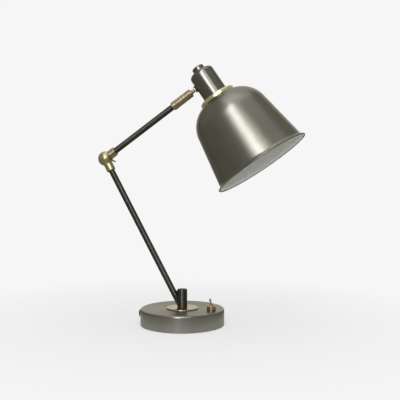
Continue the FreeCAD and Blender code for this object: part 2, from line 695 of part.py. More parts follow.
# Elbow
def make_elbow_ball():
    """Ball and ferrule in one piece.

    The slot through the ball is the space that the tongue sweeps between the elbow's limits.
    """
    body = new_body("elbow_ball")
    solid_feature(body, "AdditiveSphere", "Ball", {"Radius": "ball_radius"})
    rod(body, "Ferrule", "ferrule_radius", "ferrule_drop", ("0", "0", "-ferrule_drop"))
    meeting = math.sqrt(size("ball_radius") ** 2 - size("ferrule_radius") ** 2)
    round_ring(body, "Blend", size("ferrule_radius"), -meeting, "ball_blend")
    round_ring(body, "EndRound", size("ferrule_radius"), -size("ferrule_drop"), "ferrule_round")
    drill(body, "TubeSocket", "tube_radius", "ferrule_drop - socket_rise", ("0", "0", "-ferrule_drop"))
    drill(body, "WireWay", "wire_radius", "socket_rise", ("0", "0", "-socket_rise"))
    half = "(tongue_half + piece_gap)"
    high = "(90 + lean - upper_rise - elbow_open)"
    low = "(90 + lean - upper_rise + elbow_fold)"
    reach = "(2 * ball_radius)"
    sketch = polygon(body, "Slot", "XZ_Plane", [
        ("-%s * cos(%s)" % (half, high), "%s * sin(%s)" % (half, high)),
        ("%s * sin(%s) - %s * cos(%s)" % (reach, high, half, high),
         "%s * cos(%s) + %s * sin(%s)" % (reach, high, half, high)),
        ("%s * sin(%s) + %s * cos(%s)" % (reach, low, half, low),
         "%s * cos(%s) - %s * sin(%s)" % (reach, low, half, low)),
        ("%s * cos(%s)" % (half, low), "-%s * sin(%s)" % (half, low))])
    pocket(body, sketch, elbow_slot)
    drill(body, "SlotEnd", "tongue_end + piece_gap", elbow_slot, ("0", "-%s / 2" % elbow_slot, "0"), "Y")
    drill(body, "ClampHole", "clamp_radius + running_gap", "clamp_depth + ball_radius",
          ("0", "-clamp_depth", "0"), "Y")
    block(body, "ScrewSeat", "2 * ball_radius", "ball_radius", "2 * ball_radius",
          ("-ball_radius", "ball_flat", "-ball_radius"), "SubtractiveBox")
    finish(body, "elbow_ball", "ball")


def make_elbow_washers():
    """Friction washers on both sides of the tongue, one group."""
    discs = []
    for side, start in (("Near", "-elbow_tongue / 2 - elbow_washer - side_gap / 2"),
                        ("Far", "elbow_tongue / 2 + side_gap / 2")):
        disc = doc.addObject("Part::Cylinder", side + "WasherDisc")
        hole = doc.addObject("Part::Cylinder", side + "WasherHole")
        for item, radius in ((disc, "tongue_end"), (hole, "clamp_radius + running_gap")):
            bind(item, "Radius", radius)
            bind(item, "Height", "elbow_washer")
            item.Placement = FreeCAD.Placement(Vector(0, 0, 0), turns["Y"])
            bind(item, "Placement.Base.y", start)
        washer = doc.addObject("Part::Cut", side + "Washer")
        washer.Base = disc
        washer.Tool = hole
        discs.append(washer)
    group = doc.addObject("Part::MultiFuse", "ElbowWashers")
    group.Shapes = discs
    finish(group, "elbow_washers", "ball")


def make_wing_screw():
    """Wing screw on the far side of the elbow, and the washer that it bears on."""
    washer = turned_body("wing_washer", [
        ("ball_flat", "clamp_radius + running_gap"), ("ball_flat", "wing_hub"),
        ("ball_flat + clamp_washer", "wing_hub"),
        ("ball_flat + clamp_washer", "clamp_radius + running_gap")],
        "YZ_Plane", "H_Axis")
    finish(washer, "wing_washer", "wing")
    foot = "(ball_flat + clamp_washer + running_gap)"
    top = "(%s + wing_hub_depth)" % foot
    tip = "-clamp_depth + piece_gap"
    screw = turned_body("wing_screw", [
        (tip, "0"), (top, "0"), (top, "wing_hub_top"), (foot, "wing_hub"), (foot, "clamp_radius"),
        (tip, "clamp_radius")], "YZ_Plane", "H_Axis")
    low = "(%s + wing_foot)" % foot
    high = "(%s + wing_width)" % low
    half = [("0", low), ("wing_span - wing_corner", low), ("wing_span", low + " + wing_corner"),
            ("wing_span", high + " - wing_corner"), ("wing_span - wing_corner", high), ("wing_hub", top)]
    other = [("-(%s)" % across, up) for across, up in reversed(half[1:])]
    pad(screw, polygon(screw, "Wings", "XY_Plane", half + other), "wing_thick")
    finish(screw, "wing_screw", "wing")


# Upper arm
def make_elbow_tongue():
    """Flat tongue in the ball's slot, with a round plug in the upper tube."""
    body = new_body("elbow_tongue")
    rod(body, "Eye", "tongue_end", "elbow_tongue", ("0", "-elbow_tongue / 2", "0"), "Y")
    block(body, "Blade", "2 * tongue_half", "elbow_tongue", "upper_tube_start",
          ("-tongue_half", "-elbow_tongue / 2", "0"))
    rod(body, "Plug", "tube_radius - tube_wall - plug_gap", "plug_length", ("0", "0", "upper_tube_start"))
    drill(body, "ClampHole", "clamp_radius + running_gap", "2 * elbow_tongue",
          ("0", "-elbow_tongue", "0"), "Y")
    drill(body, "WireWay", "tongue_wire_radius", "upper_tube_start + plug_length",
          ("0", "0", "tongue_end"))
    finish(body, "elbow_tongue", "upper")


def make_elbow_ferrule():
    """Brass ferrule whose cupped face follows the ball."""
    body = new_body("elbow_ferrule")
    rod(body, "Ring", "ferrule_radius", "upper_ferrule_end - ball_radius / 2",
        ("0", "0", "ball_radius / 2"))
    round_ring(body, "EndRound", size("ferrule_radius"), size("upper_ferrule_end"), "ferrule_round")
    solid_feature(body, "SubtractiveSphere", "Cup", {"Radius": "ball_radius + cup_gap"})
    drill(body, "TubeSeat", "tube_radius", "upper_ferrule_end", ("0", "0", "upper_tube_start"))
    block(body, "TongueHole", "2 * tongue_half + 2 * running_gap", "elbow_tongue + 2 * running_gap",
          "upper_ferrule_end", ("-tongue_half - running_gap", "-elbow_tongue / 2 - running_gap", "0"),
          "SubtractiveBox")
    finish(body, "elbow_ferrule", "upper")


def make_upper_tube():
    body = tube_body("upper_tube", "tube_radius - tube_wall", "tube_radius", "upper_tube_start",
                     sleeve_end + " - sleeve_step")
    finish(body, "upper_tube", "upper")


def make_head_sleeve():
    """Brass sleeve on the tube's end, with a collar at its start and an end wall for the swivel."""
    start = "(%s - sleeve_length)" % sleeve_end
    step = "(%s - sleeve_step)" % sleeve_end
    wall = "(%s - sleeve_wall)" % sleeve_end
    bore = "shank_radius + running_gap"
    body = turned_body("head_sleeve", [
        ("tube_radius", start), ("collar_radius", start), ("collar_radius", start + " + collar_length"),
        ("sleeve_radius", start + " + collar_length + collar_radius - sleeve_radius"),
        ("sleeve_radius", sleeve_end), (bore, sleeve_end), (bore, wall), ("sleeve_bore", wall),
        ("sleeve_bore", step), ("tube_radius", step)])
    end = size("upper_reach") - size("neck_radius") - size("joint_gap")
    round_ring(body, "EndRound", size("sleeve_radius"), end, "edge_break")
    round_ring(body, "StartRound", size("collar_radius"), end - size("sleeve_length"), "edge_break")
    drill(body, "GrubHole", "grub_radius + running_gap", "collar_radius",
          ("tube_radius / 2", "0", start + " + collar_length / 2"), "X")
    finish(body, "head_sleeve", "upper")
    grub = new_body("sleeve_screw")
    rod(grub, "Thread", "grub_radius", "grub_length",
        ("tube_radius + running_gap", "0", start + " + collar_length / 2"), "X")
    drill(grub, "Socket", "grub_socket", "grub_length / 2",
          ("tube_radius + running_gap + grub_length / 2", "0", start + " + collar_length / 2"), "X")
    finish(grub, "sleeve_screw", "upper")


# Knuckle
def make_swivel_fork():
    """Fork that turns in the sleeve's end and carries the head's tongue on a pin."""
    sleeve_face = "(pin_to_neck - joint_gap)"
    flange_low = "(%s + piece_gap)" % sleeve_face
    slot_low = "(-knuckle_end - piece_gap)"
    shank_low = "(%s - shank_length)" % flange_low
    body = turned_body("swivel_fork", [
        ("0", shank_low), ("shank_radius", shank_low), ("shank_radius", flange_low),
        ("flange_radius", flange_low), ("flange_radius", slot_low), ("fork_radius", slot_low),
        ("fork_radius", "0"), ("0", "0")])
    solid_feature(body, "AdditiveSphere", "Nose", {"Radius": "fork_radius"})
    block(body, "Slot", "2 * flange_radius", knuckle_slot, "2 * fork_radius + piece_gap",
          ("-flange_radius", "-%s / 2" % knuckle_slot, slot_low), "SubtractiveBox")
    drill(body, "PinHole", "knuckle_pin + running_gap", "2 * flange_radius",
          ("0", "-flange_radius", "0"), "Y")
    clip_high = "(%s - sleeve_wall - piece_gap)" % sleeve_face
    groove = polygon(body, "Groove", "XZ_Plane", [
        ("clip_groove", clip_high + " - clip_depth - running_gap"),
        ("2 * shank_radius", clip_high + " - clip_depth - running_gap"),
        ("2 * shank_radius", clip_high + " + running_gap"), ("clip_groove", clip_high + " + running_gap")])
    doc.recompute()
    before = body.Shape.Volume
    cut = body.newObject("PartDesign::Groove", "SwivelForkGroove")
    cut.Profile = groove
    cut.ReferenceAxis = (groove, ["V_Axis"])
    cut.Angle = 360
    doc.recompute()
    if body.Shape.Volume >= before:
        raise RuntimeError("the clip groove removes nothing")
    finish(body, "swivel_fork", "knuckle")
    clip = tube_body("swivel_clip", "clip_groove + running_gap", "clip_radius",
                     clip_high + " - clip_depth",
                     clip_high)
    block(clip, "Mouth", "2 * clip_radius", "clip_mouth", "4 * clip_depth",
          ("0", "-clip_mouth / 2", clip_high + " - 2 * clip_depth"), "SubtractiveBox")
    finish(clip, "swivel_clip", "knuckle")
    pin = turned_body("knuckle_pin", [
        ("-knuckle_pin_half", "0"), ("knuckle_pin_half", "0"), ("knuckle_pin_half", "knuckle_pin"),
        ("-knuckle_pin_half", "knuckle_pin")], "YZ_Plane", "H_Axis")
    finish(pin, "knuckle_pin", "knuckle")


def make_head_stud():
    """Tongue and stud that carry the head: an eye on the pin and a thread through the neck."""
    pin = "(-neck_radius - pin_to_neck)"
    face = "(%s + fork_radius + piece_gap)" % pin
    body = new_body("head_stud")
    rod(body, "Eye", "knuckle_end", "knuckle_tongue", (pin, "-knuckle_tongue / 2", "0"), "Y")
    block(body, "Blade", "fork_radius + piece_gap", "knuckle_tongue", "knuckle_blade",
          (pin, "-knuckle_tongue / 2", "-knuckle_blade / 2"))
    rod(body, "Thread", "stud_radius", "stud_length", (face, "0", "0"), "X")
    drill(body, "PinHole", "knuckle_pin + running_gap", "2 * knuckle_tongue",
          (pin, "-knuckle_tongue", "0"), "Y")
    finish(body, "head_stud", "head")
    nut = turned_body("stud_nut", [
        (face, "stud_radius + running_gap"), (face, "stud_nut_radius"),
        (face + " + stud_nut_depth", "stud_nut_radius"),
        (face + " + stud_nut_depth", "stud_radius + running_gap")], "XZ_Plane", "H_Axis")
    finish(nut, "stud_nut", "head")
    seat = "(%s + stud_nut_depth)" % face
    saddle = turned_body("saddle_washer", [
        (seat, "stud_radius + running_gap"), (seat, "saddle_radius"), ("-saddle_reach", "saddle_radius"),
        ("-saddle_reach", "stud_radius + running_gap")], "XZ_Plane", "H_Axis")
    drill(saddle, "NeckSeat", "neck_radius", "4 * saddle_radius", ("0", "0", "-2 * saddle_radius"))
    finish(saddle, "saddle_washer", "head")
    inner_face = "(-sqrt((neck_radius - neck_wall) ^ 2 - inner_nut_radius ^ 2) + running_gap)"
    inner = turned_body("inner_nut", [
        (inner_face, "stud_radius + running_gap"), (inner_face, "inner_nut_radius"),
        (inner_face + " + inner_nut_depth", "inner_nut_radius"),
        (inner_face + " + inner_nut_depth", "stud_radius + running_gap")], "XZ_Plane", "H_Axis")
    finish(inner, "inner_nut", "head")


# Head
def make_neck_cup():
    """Drawn cup over the lampholder, open below."""
    inside = "(neck_radius - neck_wall)"
    roof = "(neck_up - neck_wall)"
    body = turned_body("neck_cup", [
        ("stem_radius + running_gap", roof), (inside, roof), (inside, collar_top),
        ("neck_radius", collar_top),
        ("neck_radius", "neck_up"), ("stem_radius + running_gap", "neck_up")])
    round_ring(body, "TopEdge", size("neck_radius"), size("neck_up"), "neck_round")
    inner_roof = size("neck_up") - size("neck_wall")
    round_ring(body, "InnerEdge", size("neck_radius") - size("neck_wall"), inner_roof,
               "neck_round - neck_wall")
    drill(body, "StudHole", "stud_radius + running_gap", "2 * neck_radius",
          ("-2 * neck_radius", "0", "0"), "X")
    finish(body, "neck_cup", "head")


def make_cap_knob():
    """Round knob on the stem that closes the neck."""
    top = "(neck_up + knob_height)"
    body = turned_body("cap_knob", [
        ("stem_radius + running_gap", "neck_up"), ("knob_radius", "neck_up"), ("knob_radius", top),
        ("0", top),
        ("0", "neck_up + stem_in_knob + piece_gap"),
        ("stem_radius + running_gap", "neck_up + stem_in_knob + piece_gap")])
    round_ring(body, "TopEdge", size("knob_radius"), size("neck_up") + size("knob_height"), "knob_round")
    round_ring(body, "FootEdge", size("knob_radius"), size("neck_up"), "edge_break")
    finish(body, "cap_knob", "head")
    stem = tube_body("holder_stem", "0", "stem_radius", "-holder_top - stem_in_holder",
                     "neck_up + stem_in_knob")
    finish(stem, "holder_stem", "head")


def make_shade_collar():
    """Brass collar with a low domed top between the neck and the shade."""
    hole = "(skirt_radius + piece_gap)"
    edge_top = "(-neck_down - collar_dome)"
    body = turned_body("shade_collar", [
        (hole, shade_top), ("collar_plate_radius", shade_top), ("collar_plate_radius", edge_top),
        ("neck_radius + collar_seat", collar_top), (hole, collar_top)])
    round_ring(body, "LowEdge", size("collar_plate_radius"),
               -size("neck_down") - size("collar_dome") - size("collar_edge"), "collar_low_round")
    round_ring(body, "HighEdge", size("collar_plate_radius"), -size("neck_down") - size("collar_dome"),
               "collar_high_round")
    finish(body, "shade_collar", "head")


def shade_outline(sketch):
    """Draws the shade's section near its true place and holds it with constraints."""
    top = -size("neck_down") - size("collar_dome") - size("collar_edge")
    skin = size("shade_wall")
    slope = math.radians(size("wall_angle"))
    big = size("shoulder_radius")
    small = size("flare_radius")
    hole_top = Vector(size("skirt_radius") + size("piece_gap"), top, 0)
    hole_low = hole_top - Vector(0, skin, 0)
    seat_end = Vector(size("shoulder_start"), top, 0)
    from_axis = size("rim_radius") - size("shoulder_inset")
    centre = Vector(from_axis, top - math.sqrt(big ** 2 - (seat_end.x - from_axis) ** 2), 0)
    outward = Vector(math.cos(slope), math.sin(slope), 0)
    down = Vector(math.sin(slope), -math.cos(slope), 0)
    rim = Vector(size("rim_radius") - size("bead_radius"),
                 top - size("shade_depth") + size("bead_radius") + skin / 2, 0)
    # The lip's arc touches the wall and ends at the rim, which places its centre along the wall.
    beside = centre + outward * (big + small)
    run = (rim - beside).dot(down) - math.sqrt(small ** 2 - (rim - beside).dot(outward) ** 2)
    lip_centre = beside + down * run
    wall_end = centre + outward * big + down * run
    drop = math.sqrt((small + skin) ** 2 - (rim.x - lip_centre.x) ** 2)
    under_rim = Vector(rim.x, lip_centre.y - drop, 0)
    rise = math.sqrt((big - skin) ** 2 - (hole_low.y - centre.y) ** 2)
    inner_seat = Vector(from_axis + rise, hole_low.y, 0)

    def arc(middle, first, last):
        """The arc from first to last, counter-clockwise about middle."""
        begin = math.atan2((first - middle).y, (first - middle).x)
        finish_angle = math.atan2((last - middle).y, (last - middle).x)
        circle = Part.Circle(middle, Vector(0, 0, 1), (first - middle).Length)
        return Part.ArcOfCircle(circle, begin, finish_angle)

    shoulder_end = centre + outward * big
    seat, shoulder, wall, lip, rim_cap, under_lip, inner_wall, inner_shoulder, under_seat, hole = range(10)
    for line in (
            Part.LineSegment(hole_top, seat_end),
            arc(centre, shoulder_end, seat_end),
            Part.LineSegment(shoulder_end, wall_end),
            arc(lip_centre, wall_end, rim),
            Part.LineSegment(rim, under_rim),
            arc(lip_centre, wall_end - outward * skin, under_rim),
            Part.LineSegment(wall_end - outward * skin, shoulder_end - outward * skin),
            arc(centre, shoulder_end - outward * skin, inner_seat),
            Part.LineSegment(inner_seat, hole_low),
            Part.LineSegment(hole_low, hole_top)):
        sketch.addGeometry(line, False)
    begin, end, middle = 1, 2, 3
    for first, first_point, second, second_point in (
            (seat, end, shoulder, end), (lip, end, rim_cap, begin), (rim_cap, end, under_lip, end),
            (inner_shoulder, end, under_seat, begin), (under_seat, end, hole, begin),
            (hole, end, seat, begin),
            (inner_shoulder, middle, shoulder, middle), (under_lip, middle, lip, middle)):
        sketch.addConstraint(Sketcher.Constraint("Coincident", first, first_point, second, second_point))
    for first, first_point, second, second_point in (
            (shoulder, begin, wall, begin), (wall, end, lip, begin),
            (under_lip, begin, inner_wall, begin), (inner_wall, end, inner_shoulder, begin)):
        sketch.addConstraint(Sketcher.Constraint("Tangent", first, first_point, second, second_point))
    for line in (seat, under_seat):
        sketch.addConstraint(Sketcher.Constraint("Horizontal", line))
    for line in (rim_cap, hole):
        sketch.addConstraint(Sketcher.Constraint("Vertical", line))
    for kind, line, point, place, formula in (
            ("DistanceX", seat, begin, hole_top.x, "skirt_radius + piece_gap"),
            ("DistanceY", seat, begin, hole_top.y, shade_top),
            ("DistanceX", seat, end, seat_end.x, "shoulder_start"),
            ("DistanceY", under_seat, end, hole_low.y, shade_top + " - shade_wall"),
            ("DistanceX", shoulder, middle, centre.x, "rim_radius - shoulder_inset"),
            ("DistanceX", lip, end, rim.x, "rim_radius - bead_radius"),
            ("DistanceY", lip, end, rim.y, rim_low + " + bead_radius + shade_wall / 2")):
        number = sketch.addConstraint(Sketcher.Constraint(kind, -1, 1, line, point, place))
        bind(sketch, "Constraints[%d]" % number, formula)
    for line, radius, formula in (
            (shoulder, big, "shoulder_radius"),
            (inner_shoulder, big - skin, "shoulder_radius - shade_wall"),
            (lip, small, "flare_radius"), (under_lip, small + skin, "flare_radius + shade_wall")):
        number = sketch.addConstraint(Sketcher.Constraint("Radius", line, radius))
        bind(sketch, "Constraints[%d]" % number, formula)
    number = sketch.addConstraint(Sketcher.Constraint("Angle", wall, slope - math.pi / 2))
    bind(sketch, "Constraints[%d]" % number, "(wall_angle - 90) * 1 deg")


def make_shade():
    """Spun dome: a flat seat, a round shoulder, a flaring wall and a turned-out lip with a rolled bead."""
    body = new_body("shade")
    sketch = new_sketch(body, "Profile", "XZ_Plane")
    shade_outline(sketch)
    doc.recompute()
    if not sketch.FullyConstrained:
        raise RuntimeError("the shade's outline is loose")
    revolve(body, sketch)
    solid_feature(body, "AdditiveTorus", "Bead", {
        "Radius1": "rim_radius - bead_radius", "Radius2": "bead_radius"},
        ("0", "0", rim_low + " + bead_radius"))
    finish(body, "shade", "head")


def make_lampholder():
    """Lampholder with its thread shell and centre contact, and the ring that clamps the shade."""
    mouth = "(-neck_down - skirt_depth)"
    roof = "(%s + shell_depth + 2 * shell_inset)" % mouth
    flange_top = "(-neck_down + holder_flange_depth)"
    bore_top = "(-holder_top - stem_in_holder - piece_gap)"
    stem = "stem_radius + running_gap"
    holder = turned_body("lampholder", [
        ("0", bore_top), (stem, bore_top), (stem, "-holder_top"),
        ("holder_radius - holder_bevel", "-holder_top"),
        ("holder_radius", "-holder_top - holder_bevel"), ("holder_radius", flange_top),
        ("holder_flange", flange_top), ("holder_flange", collar_top), ("skirt_radius", collar_top),
        ("skirt_radius", mouth), ("skirt_bore", mouth), ("skirt_bore", roof), ("0", roof)])
    finish(holder, "lampholder", "head")
    low = "(%s + shell_inset)" % mouth
    shell = tube_body("thread_shell", "shell_radius", "skirt_bore", low, low + " + shell_depth")
    finish(shell, "thread_shell", "head")
    contact = turned_body("lamp_contact", [
        ("0", roof + " - shell_inset"), ("contact_tip", roof + " - shell_inset"),
        ("contact_dome", roof + " - contact_leaf"), ("contact_disc", roof + " - contact_leaf"),
        ("contact_disc", roof), ("0", roof)])
    finish(contact, "lamp_contact", "head")
    ring_top = "(%s - shade_wall)" % shade_top
    ring = tube_body("clamp_ring", "skirt_radius + running_gap", "clamp_ring_radius",
                     ring_top + " - clamp_ring_depth", ring_top)
    low_height = -(size("neck_down") + size("collar_dome") + size("collar_edge") + size("shade_wall")
                   + size("clamp_ring_depth"))
    bevel_ring(ring, "Bevel", size("clamp_ring_radius"), low_height, "clamp_ring_bevel")
    finish(ring, "clamp_ring", "head")


make_base_shell()
make_base_weight()
make_base_plate()
make_plate_screws()
make_felt_pad()
make_rosette()
make_post()
make_pivot_screw()
make_post_fixings()
make_switch()
make_cord_gland()
make_connector_block()
make_foot_rod()
make_lower_tube()
make_elbow_ball()
make_elbow_washers()
make_wing_screw()
make_elbow_tongue()
make_elbow_ferrule()
make_upper_tube()
make_head_sleeve()
make_swivel_fork()
make_head_stud()
make_neck_cup()
make_cap_knob()
make_shade_collar()
make_shade()
make_lampholder()

# Checks and export
doc.recompute()
for item in doc.Objects:
    if "Invalid" in item.State or "Error" in item.State:
        raise RuntimeError("%s did not build: %s" % (item.Name, item.State))
os.makedirs("parts", exist_ok=True)
for piece in pieces:
    shape = piece.Shape
    if shape.isNull() or not shape.isValid():
        raise RuntimeError("%s has no valid shape" % piece.Label)
    shape.exportStep("parts/%s.step" % piece.Label)
    print("%-18s %2d solids %10.1f mm3" % (piece.Label, len(shape.Solids), shape.Volume))
print(len(pieces), "pieces")
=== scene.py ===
import json
import math
import bpy
from mathutils import Matrix, Vector


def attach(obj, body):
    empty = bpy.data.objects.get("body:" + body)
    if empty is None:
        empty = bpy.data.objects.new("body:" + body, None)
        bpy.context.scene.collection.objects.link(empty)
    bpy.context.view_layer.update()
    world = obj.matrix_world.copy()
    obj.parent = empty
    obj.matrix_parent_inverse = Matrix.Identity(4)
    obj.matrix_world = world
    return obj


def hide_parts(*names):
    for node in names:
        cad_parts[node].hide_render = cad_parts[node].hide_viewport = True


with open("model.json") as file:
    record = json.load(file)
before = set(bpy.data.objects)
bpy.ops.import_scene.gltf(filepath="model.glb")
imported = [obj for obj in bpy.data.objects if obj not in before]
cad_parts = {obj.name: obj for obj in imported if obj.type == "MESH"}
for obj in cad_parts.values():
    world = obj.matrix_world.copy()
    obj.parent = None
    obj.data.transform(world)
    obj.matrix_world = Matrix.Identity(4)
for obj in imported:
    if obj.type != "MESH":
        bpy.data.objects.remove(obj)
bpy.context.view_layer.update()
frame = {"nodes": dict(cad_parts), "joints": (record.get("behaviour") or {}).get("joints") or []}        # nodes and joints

nodes = frame["nodes"]
joints = {joint["name"]: joint for joint in frame["joints"]}

# Where fixed pieces sit, in metres, and how they are turned, in degrees
stations = {
    "switchAhead": 0.0596, "leverLean": -10,
    "glandBack": -0.0825, "glandRise": 0.0185,
    "neckPastKnuckle": 0.0323, "wingTurn": 26,
}

# Where the lamp's own axes run, read from the joints of the frame
footPivot = Vector(joints["lower_arm_tilt"]["pos_m"])
elbowCentre = Vector(joints["elbow_fold"]["pos_m"])
knucklePin = Vector(joints["head_swivel"]["pos_m"])
armDirection = Vector(joints["head_swivel"]["axis"])
shadeDirection = Vector((-armDirection.z, 0, armDirection.x))
neckCentre = knucklePin + armDirection * stations["neckPastKnuckle"]
lowerDirection = (elbowCentre - footPivot).normalized()


def pickFaces(piece, wanted):
    # leaves only the wanted faces selected
    bpy.context.view_layer.objects.active = piece
    bpy.ops.object.mode_set(mode="EDIT")
    bpy.ops.mesh.select_mode(type="FACE")
    bpy.ops.mesh.select_all(action="DESELECT")
    bpy.ops.object.mode_set(mode="OBJECT")
    for face in piece.data.polygons:
        face.select = bool(wanted(face))


def turnTo(direction):
    # angle about Y that brings Z onto a direction in the lamp's XZ plane
    return math.atan2(direction.x, direction.z)


# Each place is an origin and a turn: Z runs along the piece's own axis there
places = {
    "base": (Vector((0, 0, 0)), (0, 0, 0)),
    "switch": (Vector((stations["switchAhead"], 0, 0)), (0, 0, 0)),
    "lever": (Vector(joints["switch_throw"]["pos_m"]), (0, math.radians(stations["leverLean"]), 0)),
    "gland": (Vector((stations["glandBack"], 0, stations["glandRise"])), (0, -math.pi / 2, 0)),
    "lowerArm": (footPivot, (0, turnTo(lowerDirection), 0)),
    "ball": (elbowCentre, (0, turnTo(lowerDirection), 0)),
    "wingScrew": (elbowCentre, (-math.pi / 2, math.radians(stations["wingTurn"]), 0)),
    "upperArm": (elbowCentre, (0, turnTo(armDirection), 0)),
    "head": (neckCentre, (0, turnTo(shadeDirection), 0)),
}

# Materials, all from nodes and Object coordinates


def addNode(tree, kind, **settings):
    node = tree.nodes.new("ShaderNode" + kind)
    for name, value in settings.items():
        setattr(node, name, value)
    return node


def joinUp(tree, source, target):
    tree.links.new(source, target)


def vectorStep(tree, operation, first, second=None):
    node = addNode(tree, "VectorMath", operation=operation)
    for socket, value in zip(node.inputs, (first, second)):
        if value is None:
            continue
        if isinstance(value, (tuple, float)):
            socket.default_value = value
        else:
            joinUp(tree, value, socket)
    return node.outputs["Value" if operation in ("LENGTH", "DOT_PRODUCT") else "Vector"]


def mathStep(tree, operation, first, second=0.0, third=0.0):
    node = addNode(tree, "Math", operation=operation)
    for socket, value in zip(node.inputs, (first, second, third)):
        if isinstance(value, (int, float)):
            socket.default_value = value
        else:
            joinUp(tree, value, socket)
    return node.outputs["Value"]


def noiseAt(tree, vector, scale, detail=2.0, roughness=0.5):
    node = addNode(tree, "TexNoise")
    node.inputs["Scale"].default_value = scale
    node.inputs["Detail"].default_value = detail
    node.inputs["Roughness"].default_value = roughness
    joinUp(tree, vector, node.inputs["Vector"])
    return node.outputs["Fac"]


def spread(tree, source, low, high, toLow, toHigh):
    node = addNode(tree, "MapRange")
    for name, value in zip(("From Min", "From Max", "To Min", "To Max"), (low, high, toLow, toHigh)):
        node.inputs[name].default_value = value
    joinUp(tree, source, node.inputs["Value"])
    return node.outputs["Result"]


def blendColours(tree, factor, first, second):
    node = addNode(tree, "Mix", data_type="RGBA")
    joinUp(tree, factor, node.inputs["Factor"])
    for socket, value in ((node.inputs[6], first), (node.inputs[7], second)):
        if isinstance(value, tuple):
            socket.default_value = (*value, 1)
        else:
            joinUp(tree, value, socket)
    return node.outputs[2]


def ownAxes(tree, place):
    # Object coordinates turned into the frame of one place
    origin, turn = places[place]
    coordinates = addNode(tree, "TexCoord")
    mapping = addNode(tree, "Mapping", vector_type="TEXTURE")
    mapping.inputs["Location"].default_value = origin
    mapping.inputs["Rotation"].default_value = turn
    joinUp(tree, coordinates.outputs["Object"], mapping.inputs["Vector"])
    return mapping.outputs["Vector"]


brushwork = {
    "outwardShare": 0.6,          # how fast lines pass on a flat face, against along the axis
    "stainRange": (0.7, 1.3),     # where patina and clouds together turn from dark to light
    "cloudShare": 6,              # clouds are this much larger than the patina
    "lineRange": (0.3, 0.7),
    "lineDepth": 0.00002,
    "acrossGrooves": 0.25,        # a quarter turn of the highlight from the grooves
}


def turnedMetal(name, place, look):
    # Metal turned, spun or brushed about the Z axis of a place: fine lines run round it
    material = bpy.data.materials.new(name)
    material.use_nodes = True
    tree = material.node_tree
    shader = tree.nodes["Principled BSDF"]
    shader.inputs["Metallic"].default_value = 1
    shader.inputs["Specular Tint"].default_value = (*look["edge"], 1)
    shader.inputs["Anisotropic"].default_value = look.get("stretch", 0)
    local = ownAxes(tree, place)
    split = addNode(tree, "SeparateXYZ")
    joinUp(tree, local, split.inputs["Vector"])
    flat = addNode(tree, "CombineXYZ")
    joinUp(tree, split.outputs["X"], flat.inputs["X"])
    joinUp(tree, split.outputs["Y"], flat.inputs["Y"])
    around = vectorStep(tree, "NORMALIZE", flat.outputs["Vector"])
    outward = vectorStep(tree, "LENGTH", flat.outputs["Vector"])
    # brush lines: slow one way and fast the other, with no seam
    lines = addNode(tree, "CombineXYZ")
    turned = addNode(tree, "SeparateXYZ")
    joinUp(tree, around, turned.inputs["Vector"])
    joinUp(tree, turned.outputs["X"], lines.inputs["X"])
    joinUp(tree, turned.outputs["Y"], lines.inputs["Y"])
    run = mathStep(tree, "MULTIPLY_ADD", outward, brushwork["outwardShare"], split.outputs["Z"])
    joinUp(tree, mathStep(tree, "MULTIPLY", run, look["lines"]), lines.inputs["Z"])
    brushed = noiseAt(tree, lines.outputs["Vector"], 1.0, 3.0, 0.65)
    patina = noiseAt(tree, local, look["patinaScale"], 4.0, 0.6)
    clouds = noiseAt(tree, local, look["patinaScale"] / brushwork["cloudShare"], 2.0, 0.5)
    stain = spread(tree, mathStep(tree, "ADD", patina, clouds), *brushwork["stainRange"], 0, 1)
    aged = blendColours(tree, stain, look["dark"], look["light"])
    contrast = look["contrast"]
    streaks = spread(tree, brushed, *brushwork["lineRange"], 1 - contrast, 1 + contrast)
    tint = addNode(tree, "CombineXYZ")
    for axis in "XYZ":
        joinUp(tree, streaks, tint.inputs[axis])
    colour = vectorStep(tree, "MULTIPLY", aged, tint.outputs["Vector"])
    joinUp(tree, colour, shader.inputs["Base Color"])
    swing = look["roughSpread"]
    rough = mathStep(tree, "MULTIPLY_ADD", brushed, swing, look["rough"] - swing / 2)
    rough = mathStep(tree, "MULTIPLY_ADD", stain, -swing / 2, rough)
    joinUp(tree, rough, shader.inputs["Roughness"])
    bump = addNode(tree, "Bump")
    bump.inputs["Strength"].default_value = look["bump"]
    bump.inputs["Distance"].default_value = brushwork["lineDepth"]
    joinUp(tree, brushed, bump.inputs["Height"])
    joinUp(tree, bump.outputs["Normal"], shader.inputs["Normal"])
    if look.get("stretch"):
        # grooves run round the axis, so highlights are drawn out across them
        side = addNode(tree, "CombineXYZ")
        joinUp(tree, mathStep(tree, "MULTIPLY", split.outputs["Y"], -1), side.inputs["X"])
        joinUp(tree, split.outputs["X"], side.inputs["Y"])
        back = addNode(tree, "Mapping", vector_type="VECTOR")
        back.inputs["Rotation"].default_value = places[place][1]
        joinUp(tree, side.outputs["Vector"], back.inputs["Vector"])
        world = addNode(tree, "VectorTransform", vector_type="VECTOR", convert_from="OBJECT",
                        convert_to="WORLD")
        joinUp(tree, back.outputs["Vector"], world.inputs["Vector"])
        joinUp(tree, world.outputs["Vector"], shader.inputs["Tangent"])
        shader.inputs["Anisotropic Rotation"].default_value = brushwork["acrossGrooves"]
    return material


mouldedGrain = {
    "cloudShare": 25,             # clouds are this much larger than the grain
    "glossSwing": 0.06,
    "depth": 0.0001,
}


